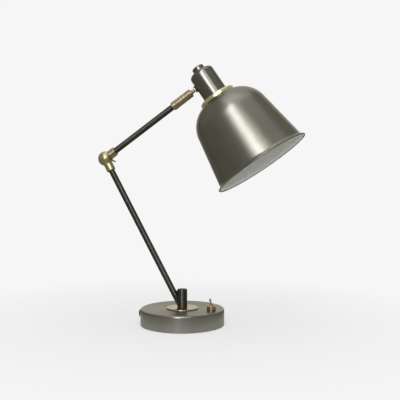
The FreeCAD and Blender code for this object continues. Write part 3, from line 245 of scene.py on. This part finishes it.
def mouldedSurface(name, look):
    # Plastic, enamel or felt: a soft grain, with slight clouds in colour and gloss
    material = bpy.data.materials.new(name)
    material.use_nodes = True
    tree = material.node_tree
    shader = tree.nodes["Principled BSDF"]
    coordinates = addNode(tree, "TexCoord").outputs["Object"]
    grain = noiseAt(tree, coordinates, look["grain"], 3.0, 0.6)
    clouds = noiseAt(tree, coordinates, look["grain"] / mouldedGrain["cloudShare"], 2.0, 0.5)
    joinUp(tree, blendColours(tree, spread(tree, clouds, 0.35, 0.65, 0, 1), look["dark"], look["light"]),
           shader.inputs["Base Color"])
    swing = mouldedGrain["glossSwing"]
    joinUp(tree, spread(tree, grain, 0.3, 0.7, look["rough"] - swing, look["rough"] + swing),
           shader.inputs["Roughness"])
    bump = addNode(tree, "Bump")
    bump.inputs["Strength"].default_value = look["bump"]
    bump.inputs["Distance"].default_value = mouldedGrain["depth"]
    joinUp(tree, grain, bump.inputs["Height"])
    joinUp(tree, bump.outputs["Normal"], shader.inputs["Normal"])
    if look.get("fuzz"):
        shader.inputs["Sheen Weight"].default_value = look["fuzz"]
    return material


metalLooks = {
    "spunGunmetal": {"dark": (0.235, 0.228, 0.190), "light": (0.268, 0.261, 0.220),
                     "edge": (0.72, 0.71, 0.63),
                     "rough": 0.32, "roughSpread": 0.05, "patinaScale": 40, "contrast": 0.04, "lines": 2200,
                     "bump": 0.2, "stretch": 0.6},
    "neckGunmetal": {"dark": (0.20, 0.194, 0.165), "light": (0.225, 0.219, 0.187), "edge": (0.7, 0.69, 0.62),
                     "rough": 0.25, "roughSpread": 0.04, "patinaScale": 40, "contrast": 0.03, "lines": 2200,
                     "bump": 0.04, "stretch": 0.7},
    "drawnGunmetal": {"dark": (0.105, 0.105, 0.092), "light": (0.13, 0.13, 0.115), "edge": (0.5, 0.5, 0.48),
                      "rough": 0.44, "roughSpread": 0.0, "patinaScale": 40, "contrast": 0.015, "lines": 700,
                      "bump": 0.0, "stretch": 1.0},
    "satinBrass": {"dark": (0.50, 0.425, 0.26), "light": (0.57, 0.495, 0.32), "edge": (0.85, 0.8, 0.65),
                   "rough": 0.42, "roughSpread": 0.0, "patinaScale": 60, "contrast": 0.015, "lines": 700,
                   "bump": 0.0, "stretch": 1.0},
    "collarBrass": {"dark": (0.80, 0.75, 0.48), "light": (0.88, 0.83, 0.56), "edge": (0.85, 0.8, 0.65),
                    "rough": 0.27, "roughSpread": 0.03, "patinaScale": 60, "contrast": 0.03, "lines": 1600,
                    "bump": 0.04, "stretch": 0.7},
    "knuckleBrass": {"dark": (0.84, 0.76, 0.55), "light": (0.92, 0.85, 0.66), "edge": (0.95, 0.9, 0.8),
                     "rough": 0.38, "roughSpread": 0.03, "patinaScale": 60, "contrast": 0.03, "lines": 1600,
                     "bump": 0.04, "stretch": 0.9},
    "ballBrass": {"dark": (0.47, 0.40, 0.22), "light": (0.56, 0.48, 0.27), "edge": (0.85, 0.8, 0.65),
                  "rough": 0.34, "roughSpread": 0.04, "patinaScale": 80, "contrast": 0.04, "lines": 1600,
                  "bump": 0.05, "stretch": 0.2},
    "roseBrass": {"dark": (0.52, 0.38, 0.25), "light": (0.60, 0.46, 0.31), "edge": (0.9, 0.8, 0.7),
                  "rough": 0.24, "roughSpread": 0.04, "patinaScale": 60, "contrast": 0.03, "lines": 1600,
                  "bump": 0.02, "stretch": 0.7},
    "paleBrass": {"dark": (0.43, 0.37, 0.26), "light": (0.52, 0.45, 0.33), "edge": (0.85, 0.8, 0.7),
                  "rough": 0.26, "roughSpread": 0.05, "patinaScale": 60, "contrast": 0.03, "lines": 1800,
                  "bump": 0.12, "stretch": 0.4},
    "brightNickel": {"dark": (0.62, 0.60, 0.54), "light": (0.72, 0.70, 0.64), "edge": (0.95, 0.95, 0.95),
                     "rough": 0.16, "roughSpread": 0.04, "patinaScale": 60, "contrast": 0.02, "lines": 1800,
                     "bump": 0.06, "stretch": 0.2},
    "zincSteel": {"dark": (0.42, 0.42, 0.43), "light": (0.55, 0.55, 0.56), "edge": (0.9, 0.9, 0.9),
                  "rough": 0.36, "roughSpread": 0.12, "patinaScale": 250, "contrast": 0.04, "lines": 3000,
                  "bump": 0.15},
    "castIron": {"dark": (0.05, 0.05, 0.05), "light": (0.09, 0.088, 0.085), "edge": (0.5, 0.5, 0.5),
                 "rough": 0.65, "roughSpread": 0.15, "patinaScale": 400, "contrast": 0.1, "lines": 900,
                 "bump": 0.8},
}
mouldedLooks = {
    "blackPlastic": {"dark": (0.012, 0.012, 0.012), "light": (0.02, 0.02, 0.019), "rough": 0.42,
                     "grain": 4000, "bump": 0.2},
    "whitePlastic": {"dark": (0.72, 0.70, 0.64), "light": (0.80, 0.78, 0.72), "rough": 0.4, "grain": 4000,
                     "bump": 0.15},
    "greyEnamel": {"dark": (0.60, 0.60, 0.555), "light": (0.64, 0.64, 0.595), "rough": 0.4, "grain": 2500,
                   "bump": 0.12},
    "feltCloth": {"dark": (0.014, 0.014, 0.015), "light": (0.035, 0.035, 0.036), "rough": 0.95,
                  "grain": 1800, "bump": 1.0, "fuzz": 0.6},
}
finishes = {}


def finishFor(kind, place="base"):
    # one material for each finish and place
    key = kind if kind in mouldedLooks else kind + place[0].upper() + place[1:]
    if key not in finishes:
        if kind in mouldedLooks:
            finishes[key] = mouldedSurface(key, mouldedLooks[kind])
        else:
            finishes[key] = turnedMetal(key, place, metalLooks[kind])
    return finishes[key]


# The CAD nodes that no piece below stands for
nodeFinishes = {
    "base_weight": ("castIron", "base"), "base_plate": ("zincSteel", "base"),
    "plate_screws": ("zincSteel", "base"), "felt_pad": ("feltCloth", "base"),
    "post": ("drawnGunmetal", "base"), "pivot_screw": ("zincSteel", "base"),
    "post_washer": ("zincSteel", "base"), "post_nut": ("zincSteel", "base"),
    "switch_body": ("blackPlastic", "base"), "gland_nut": ("zincSteel", "base"),
    "connector_block": ("whitePlastic", "base"),
    "foot_rod": ("drawnGunmetal", "lowerArm"), "lower_tube": ("drawnGunmetal", "lowerArm"),
    "elbow_ball": ("ballBrass", "ball"), "elbow_washers": ("zincSteel", "ball"),
    "wing_washer": ("zincSteel", "ball"),
    "elbow_tongue": ("drawnGunmetal", "upperArm"), "upper_tube": ("drawnGunmetal", "upperArm"),
    "sleeve_screw": ("zincSteel", "upperArm"), "swivel_fork": ("brightNickel", "upperArm"),
    "swivel_clip": ("zincSteel", "upperArm"), "knuckle_pin": ("zincSteel", "upperArm"),
    "head_stud": ("zincSteel", "upperArm"), "inner_nut": ("zincSteel", "upperArm"),
    "saddle_washer": ("blackPlastic", "head"), "holder_stem": ("zincSteel", "head"),
    "lamp_contact": ("paleBrass", "head"),
}
for nodeName, (kind, place) in nodeFinishes.items():
    nodeMesh = nodes[nodeName].data
    nodeMesh.materials.clear()
    nodeMesh.materials.append(finishFor(kind, place))
print("materials on", len(nodeFinishes), "nodes")


# Tools for the pieces. Outlines are (radius, height) in millimetres, in a piece's own place


def roundArc(centre, radius, first, last, steps=8):
    # points of an arc, with its angles in degrees from level
    angles = [math.radians(first + (last - first) * step / steps) for step in range(steps + 1)]
    return [(centre[0] + radius * math.cos(angle), centre[1] + radius * math.sin(angle)) for angle in angles]


def softCorners(corners, steps=5):
    # a corner with a third number is rounded by it
    outline = []
    for number, (across, up, *rounding) in enumerate(corners):
        if not rounding:
            outline.append((across, up))
            continue
        here = Vector((across, up))
        before = (Vector(corners[number - 1][:2]) - here).normalized()
        after = (Vector(corners[(number + 1) % len(corners)][:2]) - here).normalized()
        half = before.angle(after) / 2
        reach = rounding[0] / math.tan(half)
        centre = here + (before + after).normalized() * rounding[0] / math.sin(half)
        start, end = here + before * reach - centre, here + after * reach - centre
        first = math.degrees(math.atan2(start.y, start.x))
        sweep = (math.degrees(math.atan2(end.y, end.x)) - first + 180) % 360 - 180
        outline.append(tuple(here + before * reach * 1.2))
        outline += roundArc(centre, rounding[0], first, first + sweep, steps)
        outline.append(tuple(here + after * reach * 1.2))
    return outline


def drawOutline(name, outline):
    # a plane is merged to one vertex, which is drawn out along the outline
    bpy.ops.object.select_all(action="DESELECT")
    bpy.ops.mesh.primitive_plane_add(size=0.001)
    piece = bpy.context.object
    piece.name = name
    bpy.ops.object.mode_set(mode="EDIT")
    bpy.ops.mesh.select_mode(type="VERT")
    bpy.ops.mesh.merge(type="CENTER")
    across, up = outline[0]
    bpy.ops.transform.translate(value=(across / 1000, 0, up / 1000))
    for nextAcross, nextUp in outline[1:]:
        step = ((nextAcross - across) / 1000, 0, (nextUp - up) / 1000)
        bpy.ops.mesh.extrude_vertices_move(TRANSFORM_OT_translate={"value": step})
        across, up = nextAcross, nextUp
    bpy.ops.object.mode_set(mode="OBJECT")
    return piece


def spinPiece(name, outline, sides=96, closed=True):
    piece = drawOutline(name, outline + outline[:1] if closed else outline)
    bpy.ops.object.mode_set(mode="EDIT")
    bpy.ops.mesh.select_all(action="SELECT")
    bpy.ops.mesh.spin(steps=sides, angle=2 * math.pi, center=(0, 0, 0), axis=(0, 0, 1))
    bpy.ops.mesh.select_all(action="SELECT")
    bpy.ops.mesh.remove_doubles(threshold=0.000004)
    bpy.ops.mesh.normals_make_consistent(inside=False)
    bpy.ops.object.mode_set(mode="OBJECT")
    return piece


def pressColumns(piece, sides, low, high, margin, depth, radius):
    # every other face of a band is inset and pressed towards the axis
    def wanted(face):
        column = math.floor(math.atan2(face.center.y, face.center.x) / (2 * math.pi) * sides)
        outward = face.normal.xy.dot(face.center.xy) > 0.9 * face.center.xy.length
        return outward and low < face.center.z * 1000 < high and column % 2 == 0
    pickFaces(piece, wanted)
    bpy.ops.object.mode_set(mode="EDIT")
    bpy.ops.mesh.inset(thickness=margin / 1000, use_individual=True)
    shrink = 1 - depth / radius
    bpy.ops.transform.resize(value=(shrink, shrink, 1), center_override=(0, 0, 0))
    bpy.ops.object.mode_set(mode="OBJECT")


def selectOnly(*chosen):
    bpy.ops.object.select_all(action="DESELECT")
    for piece in chosen:
        piece.select_set(True)
    bpy.context.view_layer.objects.active = chosen[0]


def applyModifier(piece, kind, **settings):
    modifier = piece.modifiers.new(kind.lower(), kind)
    for name, value in settings.items():
        setattr(modifier, name, value)
    selectOnly(piece)
    bpy.ops.object.modifier_apply(modifier=modifier.name)


def fitPiece(piece, place, body, slotName, finishes, *standsFor, smooth=32):
    # moves the piece to its place, gives it its finish and hangs it on its body
    piece.location, piece.rotation_euler = places[place]
    selectOnly(piece)
    bpy.ops.object.transform_apply(location=True, rotation=True, scale=True)
    bpy.ops.object.shade_smooth_by_angle(angle=math.radians(smooth))
    for finish in finishes:
        piece.data.materials.append(finish)
    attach(piece, body)
    if standsFor:
        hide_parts(*standsFor)
    print(piece.name, len(piece.data.polygons), "faces")


# Shade: spun sheet with a flat seat, round shoulder, flaring wall and turned-out lip with a rolled rim
shadeSizes = {
    "hole": 19.5, "top": -42.8, "seat": 36.0,
    "shoulder": (21.4, -94.8), "shoulderRadius": 54.0, "wallFlare": -9.3,
    "lip": (98.66, -182.96), "lipRadius": 8.0, "lipEnd": 250.6,
    "sheet": 1.0, "rim": (96.0, -191.0), "rimRoll": 1.3, "sides": 192,
}


def makeShade():
    sizes = shadeSizes
    centre, radius = sizes["shoulder"], sizes["shoulderRadius"]
    seatAngle = math.degrees(math.acos((sizes["seat"] - centre[0]) / radius))
    outline = [(sizes["hole"], sizes["top"]), (sizes["seat"] - 1, sizes["top"])]
    outline += roundArc(centre, radius, seatAngle, -sizes["wallFlare"], 30)
    lip = roundArc(sizes["lip"], sizes["lipRadius"], 180 - sizes["wallFlare"], sizes["lipEnd"], 12)
    shoulderEnd = Vector(outline[-1])
    outline += [tuple(shoulderEnd.lerp(Vector(lip[0]), step / 6)) for step in range(1, 6)] + lip
    shade = spinPiece("spunShade", outline, sizes["sides"], closed=False)
    if min(shade.data.polygons, key=lambda face: face.center.xy.length).normal.z < 0:
        bpy.ops.object.mode_set(mode="EDIT")
        bpy.ops.mesh.flip_normals()
        bpy.ops.object.mode_set(mode="OBJECT")
    # the sheet's thickness goes inwards, and its inner side is the enamelled one
    shade.data.materials.append(finishFor("spunGunmetal", "head"))
    shade.data.materials.append(finishFor("greyEnamel"))
    applyModifier(shade, "SOLIDIFY", thickness=sizes["sheet"] / 1000, offset=-1, use_even_offset=True,
                  material_offset=1)
    roll = spinPiece("shadeRoll", roundArc(sizes["rim"], sizes["rimRoll"], 100, 445, 23), sizes["sides"])
    roll.data.materials.append(finishFor("spunGunmetal", "head"))
    selectOnly(shade, roll)
    bpy.ops.object.join()
    fitPiece(shade, "head", "head", "gunmetal_spun", [], "shade")


# Neck cup with its knob, and the brass collar between neck and shade
neckSizes = {
    "cup": [(3.05, 22.3), (24.4, 22.3, 7.0), (24.4, -34.7, 0.3), (22.9, -34.7), (22.9, 20.8, 5.5),
            (3.05, 20.8)],
    "knob": [(3.05, 22.3), (11.3, 22.3), (11.3, 22.9), (12.0, 23.5, 0.3), (12.0, 32.5, 2.0),
             (1.5, 32.5, 0.3), (1.1, 32.2), (0, 32.1), (0, 29.6), (3.05, 29.6)],
    "collar": [(19.5, -42.8), (36.4, -42.8, 0.8), (36.4, -35.6, 2.6), (25.15, -34.7, 0.1), (19.5, -34.7)],
    "sides": 144,
}


def makeNeck():
    cup = spinPiece("neckCup", softCorners(neckSizes["cup"], 8), neckSizes["sides"])
    fitPiece(cup, "head", "head", "gunmetal_shell", [finishFor("neckGunmetal", "head")], "neck_cup")
    knob = spinPiece("capKnob", softCorners(neckSizes["knob"]), 96)
    fitPiece(knob, "head", "head", "gunmetal_shell", [finishFor("neckGunmetal", "head")], "cap_knob")
    collar = spinPiece("brassCollar", softCorners(neckSizes["collar"]), neckSizes["sides"])
    fitPiece(collar, "head", "head", "brass", [finishFor("collarBrass", "head")], "shade_collar")


# Lampholder, seen from below: threaded skirt, thread shell and the ring that holds the shade
holderSizes = {
    "top": [(3.05, -10.0), (14.5, -10.0), (17.0, -12.5), (17.0, -31.7), (22.0, -31.7), (22.0, -34.7),
            (19.2, -34.7), (19.2, -50.6)],
    "threadDeep": 18.6, "threadStart": -50.6, "threadPitch": 2.0, "threadTurns": 4,
    "mouth": [(19.2, -62.0, 1.0), (14.0, -62.0, 0.6), (14.0, -36.0), (3.05, -36.0)],
    "shell": 13.5, "shellWave": 0.22, "shellPitch": 3.63, "shellTurns": 6, "shellLow": -60.0,
    "shellSheet": 0.2,
    "ring": [(19.4, -43.8), (27.0, -43.8, 0.5), (27.0, -49.8, 1.5), (19.4, -49.8, 0.4)],
    "ringSides": 96,
}


def makeLampholder():
    sizes = holderSizes
    outline = list(sizes["top"])
    height, pitch = sizes["threadStart"], sizes["threadPitch"]
    for turn in range(sizes["threadTurns"]):
        outline += [(sizes["threadDeep"], height - pitch * 0.3), (sizes["threadDeep"], height - pitch * 0.5),
                    (19.2, height - pitch * 0.8), (19.2, height - pitch)]
        height -= pitch
    holder = spinPiece("lampholderSkirt", softCorners(outline + sizes["mouth"]), 96)
    fitPiece(holder, "head", "head", "black_plastic", [finishFor("blackPlastic")], "lampholder")
    # one wave of the thread is drawn and wound up the shell
    wave = [(sizes["shell"] + sizes["shellWave"] * math.cos(math.radians(45 * step)),
             sizes["shellLow"] + sizes["shellPitch"] * step / 8) for step in range(9)]
    shell = drawOutline("threadShell", wave)
    applyModifier(shell, "SCREW", angle=2 * math.pi, screw_offset=sizes["shellPitch"] / 1000,
                  iterations=sizes["shellTurns"], steps=64, render_steps=64, use_merge_vertices=True)
    applyModifier(shell, "SOLIDIFY", thickness=sizes["shellSheet"] / 1000, offset=0)
    fitPiece(shell, "head", "head", "bright_brass", [finishFor("paleBrass", "head")], "thread_shell")
    ring = spinPiece("clampRing", softCorners(sizes["ring"], 3), sizes["ringSides"])
    pressColumns(ring, sizes["ringSides"], -48.2, -44.4, 0.15, 0.7, 27.0)
    fitPiece(ring, "head", "head", "black_plastic", [finishFor("blackPlastic")], "clamp_ring")


# Base: spun cover with a softly rounded top edge, and the thin rosette round the post
baseSizes = {
    "cover": [(5.05, 33.0), (82.5, 33.0, 3.5), (82.5, 1.0, 0.5), (80.0, 1.0, 0.3), (80.0, 30.5, 1.0),
              (5.05, 30.5)],
    "rosette": [(5.05, 33.0), (31.2, 33.0), (31.4, 33.3), (31.4, 35.0, 0.8), (5.05, 35.0)],
    "sides": 192,
}


def makeBase():
    cover = spinPiece("baseCover", softCorners(baseSizes["cover"], 8), baseSizes["sides"])
    fitPiece(cover, "base", "base", "gunmetal_shell", [finishFor("spunGunmetal", "base")], "base_shell")
    rosette = spinPiece("brassRosette", softCorners(baseSizes["rosette"]), 144)
    fitPiece(rosette, "base", "base", "bright_brass", [finishFor("paleBrass", "base")], "rosette")


# Toggle switch: drum nut, threaded bushing and bat lever
switchSizes = {
    "nut": [(4.95, 33.0), (8.5, 33.0), (8.8, 33.3), (8.8, 34.3), (8.8, 38.9), (8.5, 39.2), (8.5, 39.6),
            (8.8, 39.9), (8.8, 41.5, 1.1), (5.6, 41.5, 0.2), (4.95, 41.0)],
    "sides": 96,
    "bushing": [(2.55, 29.3), (4.9, 29.3), (4.9, 41.4), (4.6, 41.65), (4.9, 41.9), (4.6, 42.15), (4.9, 42.4),
                (4.6, 42.65), (4.9, 42.9), (4.6, 43.2), (4.6, 43.5, 0.15), (3.7, 43.5, 0.2), (2.55, 40.5)],
    "leverBall": 2.45, "leverTip": 2.0, "leverLong": 14.0,
    "leverStem": [(1.38, 2.6), (1.4, 4.5), (1.48, 7.0), (1.66, 9.5), (1.87, 11.8), (1.98, 13.3)],
}


def makeSwitch():
    sizes = switchSizes
    nut = spinPiece("switchNut", softCorners(sizes["nut"]), sizes["sides"])
    fitPiece(nut, "switch", "base", "brass", [finishFor("roseBrass", "switch")], "switch_nut", smooth=25)
    bushing = spinPiece("switchBushing", softCorners(sizes["bushing"], 3), 72)
    fitPiece(bushing, "switch", "base", "brass", [finishFor("roseBrass", "switch")], "switch_bushing")
    rise = math.degrees(math.acos(1.38 / sizes["leverBall"]))
    outline = roundArc((0, 0), sizes["leverBall"], -90, rise, 14) + sizes["leverStem"]
    outline += roundArc((0, sizes["leverLong"]), sizes["leverTip"], 0, 90, 8)
    lever = spinPiece("switchLever", outline, 48, closed=False)
    fitPiece(lever, "lever", "switch_lever", "brass", [finishFor("roseBrass", "lever")], "switch_lever")


# Cord gland in the back of the base, fluted so that fingers can turn it
glandSizes = {
    "outline": [(3.0, -9.0), (4.9, -9.0), (4.9, -0.6), (7.25, -0.6), (7.25, 1.2, 0.2), (6.9, 1.6),
                (7.25, 2.0, 0.2), (7.25, 7.0, 1.2), (3.9, 7.0, 0.5), (3.0, 5.4)],
    "sides": 48, "flutes": (2.2, 5.7), "fluteDeep": 0.4,
}


def makeGland():
    sizes = glandSizes
    gland = spinPiece("cordGland", softCorners(sizes["outline"], 4), sizes["sides"])
    pressColumns(gland, sizes["sides"], *sizes["flutes"], 0.1, sizes["fluteDeep"], 7.25)
    fitPiece(gland, "gland", "base", "black_plastic", [finishFor("blackPlastic")], "cord_gland", smooth=25)


# Brass and nickel turned pieces along the upper arm, heights from the elbow's centre
armSizes = {
    "ferrule": [(2.6, 15.4), (6.6, 14.14), (8.8, 12.9, 0.25), (9.0, 13.2), (9.0, 26.4, 0.8),
                (6.05, 26.4, 0.2), (6.05, 25.0), (2.6, 25.0)],
    "sleeve": [(6.05, 176.1, 0.2), (8.75, 176.1, 0.6), (8.75, 186.9, 0.2), (8.2, 187.15), (8.2, 187.6),
               (8.45, 187.9, 0.15), (8.45, 221.6, 0.7), (3.6, 221.6, 0.2), (3.6, 218.0), (6.05, 218.0)],
    "studNut": [(4.05, 230.9), (6.9, 230.9, 0.5), (6.9, 233.7, 0.5), (4.05, 233.7)],
}


def makeArmBrass():
    ferrule = spinPiece("upperFerrule", softCorners(armSizes["ferrule"]), 96)
    fitPiece(ferrule, "upperArm", "upper_arm", "brass", [finishFor("satinBrass", "upperArm")],
             "elbow_ferrule")
    sleeve = spinPiece("headSleeve", softCorners(armSizes["sleeve"]), 96)
    fitPiece(sleeve, "upperArm", "upper_arm", "brass", [finishFor("satinBrass", "upperArm")], "head_sleeve")
    nut = spinPiece("studNut", softCorners(armSizes["studNut"]), 72)
    fitPiece(nut, "upperArm", "head", "nickel", [finishFor("knuckleBrass", "upperArm")], "stud_nut")


# Wing screw of the elbow: a turned hub and two cast wings, in its own place with Z along the screw
wingSizes = {
    "hub": [(0, 3.3), (2.5, 3.3), (2.5, 14.35), (5.0, 14.35, 0.4), (4.0, 20.85, 0.9), (0, 20.85)],
    "root": ((5.2, 0, 18.4), (5.0, 3.0, 4.6)),
    "middle": ((4.4, 0, 0.9), 1.45),
    "tip": ((3.6, 0, 0.5), 0.62),
}


def makeWingScrew():
    hub = spinPiece("wingScrew", softCorners(wingSizes["hub"]), 64)
    centre, extent = wingSizes["root"]
    bpy.ops.object.select_all(action="DESELECT")
    bpy.ops.mesh.primitive_cube_add(size=1, location=[value / 1000 for value in centre],
                                    scale=[value / 1000 for value in extent])
    wing = bpy.context.object
    bpy.ops.object.transform_apply(location=True, rotation=True, scale=True)
    pickFaces(wing, lambda face: face.normal.x > 0.9)
    bpy.ops.object.mode_set(mode="EDIT")
    reach = Vector((centre[0] + extent[0] / 2, 0, centre[2]))
    for step, swell in (wingSizes["middle"], wingSizes["tip"]):
        bpy.ops.mesh.extrude_region_move(TRANSFORM_OT_translate={"value": [value / 1000 for value in step]})
        reach += Vector(step)
        bpy.ops.transform.resize(value=(1, 0.92, swell), center_override=reach / 1000)
    bpy.ops.object.mode_set(mode="OBJECT")
    applyModifier(wing, "SUBSURF", levels=3, render_levels=3)
    selectOnly(wing)
    bpy.ops.object.duplicate()
    other = bpy.context.object
    other.rotation_euler = (0, 0, math.pi)
    bpy.ops.object.transform_apply(location=True, rotation=True, scale=True)
    selectOnly(hub, wing, other)
    bpy.ops.object.join()
    fitPiece(hub, "wingScrew", "wing_screw", "gunmetal_tube", [finishFor("drawnGunmetal", "wingScrew")],
             "wing_screw")


makeShade()
makeNeck()
makeLampholder()
makeBase()
makeSwitch()
makeGland()
makeArmBrass()
makeWingScrew()
print("pieces made")


# Floor, background and lamps
studio = {
    "backgroundLevel": 0.922,     # 246 of 255
    "worldLevel": 0.55,
    "floorSize": 40,
    "shadowShare": 0.35,
    "shadowReach": (0.15, 0.6),
    "flagLevel": 0.36,            # glow of the painted reflection screen: what the metal mirrors of the dark room round the camera
    "flagLow": 0.25,              # the same glow near the floor, dimmer: a painted darker reflection low down
    "flagRise": (0.1, 0.8),       # heights between which it goes from one to the other
    # warm tint of the painted reflection screen's glow
    "flagTint": (1, 0.98, 0.88, 1),
    "flagRadius": 3.0,
    "flagHeight": 5.0,
    "flagLift": 0.002,
    "flagOpening": 60,            # degrees left open behind the lamp
    "flagHole": 0.16,             # open round the lamp's foot
}


def cameraOrMirror(tree):
    rays = addNode(tree, "LightPath")
    seen = mathStep(tree, "MAXIMUM", rays.outputs["Is Camera Ray"], rays.outputs["Is Glossy Ray"])
    return mathStep(tree, "MAXIMUM", seen, rays.outputs["Is Transmission Ray"])


def paleFloor():
    bpy.ops.mesh.primitive_plane_add(size=studio["floorSize"])
    floor = bpy.context.object
    floor.name = "paleFloor"
    material = bpy.data.materials.new("paleFloor")
    material.use_nodes = True
    tree = material.node_tree
    tree.nodes.clear()
    output = addNode(tree, "OutputMaterial")
    paper = addNode(tree, "BsdfDiffuse")
    paper.inputs["Color"].default_value = (0.8, 0.8, 0.8, 1)
    glow = addNode(tree, "Emission")
    glow.inputs["Color"].default_value = (1, 1, 1, 1)
    glow.inputs["Strength"].default_value = studio["backgroundLevel"]
    distance = vectorStep(tree, "LENGTH", addNode(tree, "TexCoord").outputs["Object"])
    near = spread(tree, distance, *studio["shadowReach"], 1 - studio["shadowShare"], 1)
    share = mathStep(tree, "MULTIPLY", near, cameraOrMirror(tree))
    blend = addNode(tree, "MixShader")
    joinUp(tree, share, blend.inputs["Fac"])
    joinUp(tree, paper.outputs["BSDF"], blend.inputs[1])
    joinUp(tree, glow.outputs["Emission"], blend.inputs[2])
    joinUp(tree, blend.outputs["Shader"], output.inputs["Surface"])
    floor.data.materials.append(material)


def paleWorld():
    world = bpy.data.worlds.new("paleWorld")
    bpy.context.scene.world = world
    world.use_nodes = True
    tree = world.node_tree
    background = tree.nodes["Background"]
    background.inputs["Color"].default_value = (1, 1, 1, 1)
    level = spread(tree, cameraOrMirror(tree), 0, 1, studio["worldLevel"], studio["backgroundLevel"])
    joinUp(tree, level, background.inputs["Strength"])


def paintedReflectionScreen():
    # a curved screen round the camera's side that glows dimly and that only glossy rays see: a painted
    # reflection of a dark room, which gives the metal its dark side
    middle = (0, 0, studio["flagHeight"] / 2 + studio["flagLift"])
    bpy.ops.mesh.primitive_cylinder_add(vertices=72, radius=studio["flagRadius"], depth=studio["flagHeight"],
                                        location=middle, end_fill_type="NGON")
    flag = bpy.context.object
    flag.name = "paintedReflectionScreen"
    behind = math.radians(viewpoint["azimuth"])
    away = Vector((-math.sin(behind), math.cos(behind), 0))
    edge = math.cos(math.radians(studio["flagOpening"] / 2))
    pickFaces(flag, lambda face: face.normal.z > 0.9 or face.normal.dot(away) > edge)
    bpy.ops.object.mode_set(mode="EDIT")
    bpy.ops.mesh.delete(type="FACE")
    bpy.ops.object.mode_set(mode="OBJECT")
    pickFaces(flag, lambda face: face.normal.z < -0.9)
    bpy.ops.object.mode_set(mode="EDIT")
    bpy.ops.mesh.inset(thickness=studio["flagRadius"] - studio["flagHole"])
    bpy.ops.mesh.delete(type="FACE")
    bpy.ops.object.mode_set(mode="OBJECT")
    material = bpy.data.materials.new("paintedReflectionScreen")
    material.use_nodes = True
    tree = material.node_tree
    tree.nodes.clear()
    # the screen's glow is the painted reflection: warm-tinted and dimmer towards the floor
    glow = addNode(tree, "Emission")
    glow.inputs["Color"].default_value = studio["flagTint"]
    height = addNode(tree, "SeparateXYZ")
    joinUp(tree, addNode(tree, "NewGeometry").outputs["Position"], height.inputs["Vector"])
    level = spread(tree, height.outputs["Z"], *studio["flagRise"], studio["flagLow"], studio["flagLevel"])
    joinUp(tree, level, glow.inputs["Strength"])
    joinUp(tree, glow.outputs["Emission"], addNode(tree, "OutputMaterial").inputs["Surface"])
    flag.data.materials.append(material)
    flag.visible_camera = False
    flag.visible_diffuse = False
    flag.visible_shadow = False
    flag.visible_transmission = False


# Softboxes: azimuth and rise round the lamp in degrees, how far away, width and height, power
lamps = {
    "keySoftbox": {"azimuth": 6, "rise": 29, "away": 2.2, "size": (0.6, 2.0), "power": 23.5,
                   "colour": (0.95, 0.975, 1.05)},
    "fillSoftbox": {"azimuth": 31, "rise": 29, "away": 2.2, "size": (0.6, 1.5), "power": 5.5,
                    "colour": (1, 1, 1)},
    "topSoftbox": {"azimuth": 0, "rise": 80, "away": 1.8, "size": (1.2, 1.2), "power": 2,
                   "colour": (1, 1, 1)},
}
lampTarget = Vector((0, 0, 0.28))


def softbox(name, light):
    turn, rise = math.radians(light["azimuth"]), math.radians(light["rise"])
    back = Vector((math.sin(turn) * math.cos(rise), -math.cos(turn) * math.cos(rise), math.sin(rise)))
    bpy.ops.object.light_add(type="AREA", location=lampTarget + back * light["away"])
    lamp = bpy.context.object
    lamp.name = name
    lamp.rotation_euler = back.to_track_quat("Z", "Y").to_euler()
    lamp.data.shape = "RECTANGLE"
    lamp.data.size, lamp.data.size_y = light["size"]
    lamp.data.energy = light["power"]
    lamp.data.color = light["colour"]


viewpoint = {"azimuth": 17.4, "pitch": 3.22, "away": 1.5335, "right": 0.0348, "up": 0.2457, "lens": 70.02}


def photoCamera():
    turn, pitch = math.radians(viewpoint["azimuth"]), math.radians(viewpoint["pitch"])
    right = Vector((math.cos(turn), math.sin(turn), 0))
    ahead = Vector((-math.sin(turn) * math.cos(pitch), math.cos(turn) * math.cos(pitch), -math.sin(pitch)))
    up = right.cross(ahead)
    spot = right * viewpoint["right"] + up * viewpoint["up"] - ahead * viewpoint["away"]
    bpy.ops.object.camera_add(location=spot)
    camera = bpy.context.object
    camera.rotation_euler = Matrix((right, up, -ahead)).transposed().to_euler()
    camera.data.lens = viewpoint["lens"]
    camera.data.sensor_width = 36
    bpy.context.scene.camera = camera


bpy.ops.object.select_all(action="DESELECT")
paleFloor()
paleWorld()
paintedReflectionScreen()
for lampName, lampSettings in lamps.items():
    softbox(lampName, lampSettings)
photoCamera()
bpy.context.scene.view_settings.view_transform = "Standard"
print("stage, lamps and camera set")
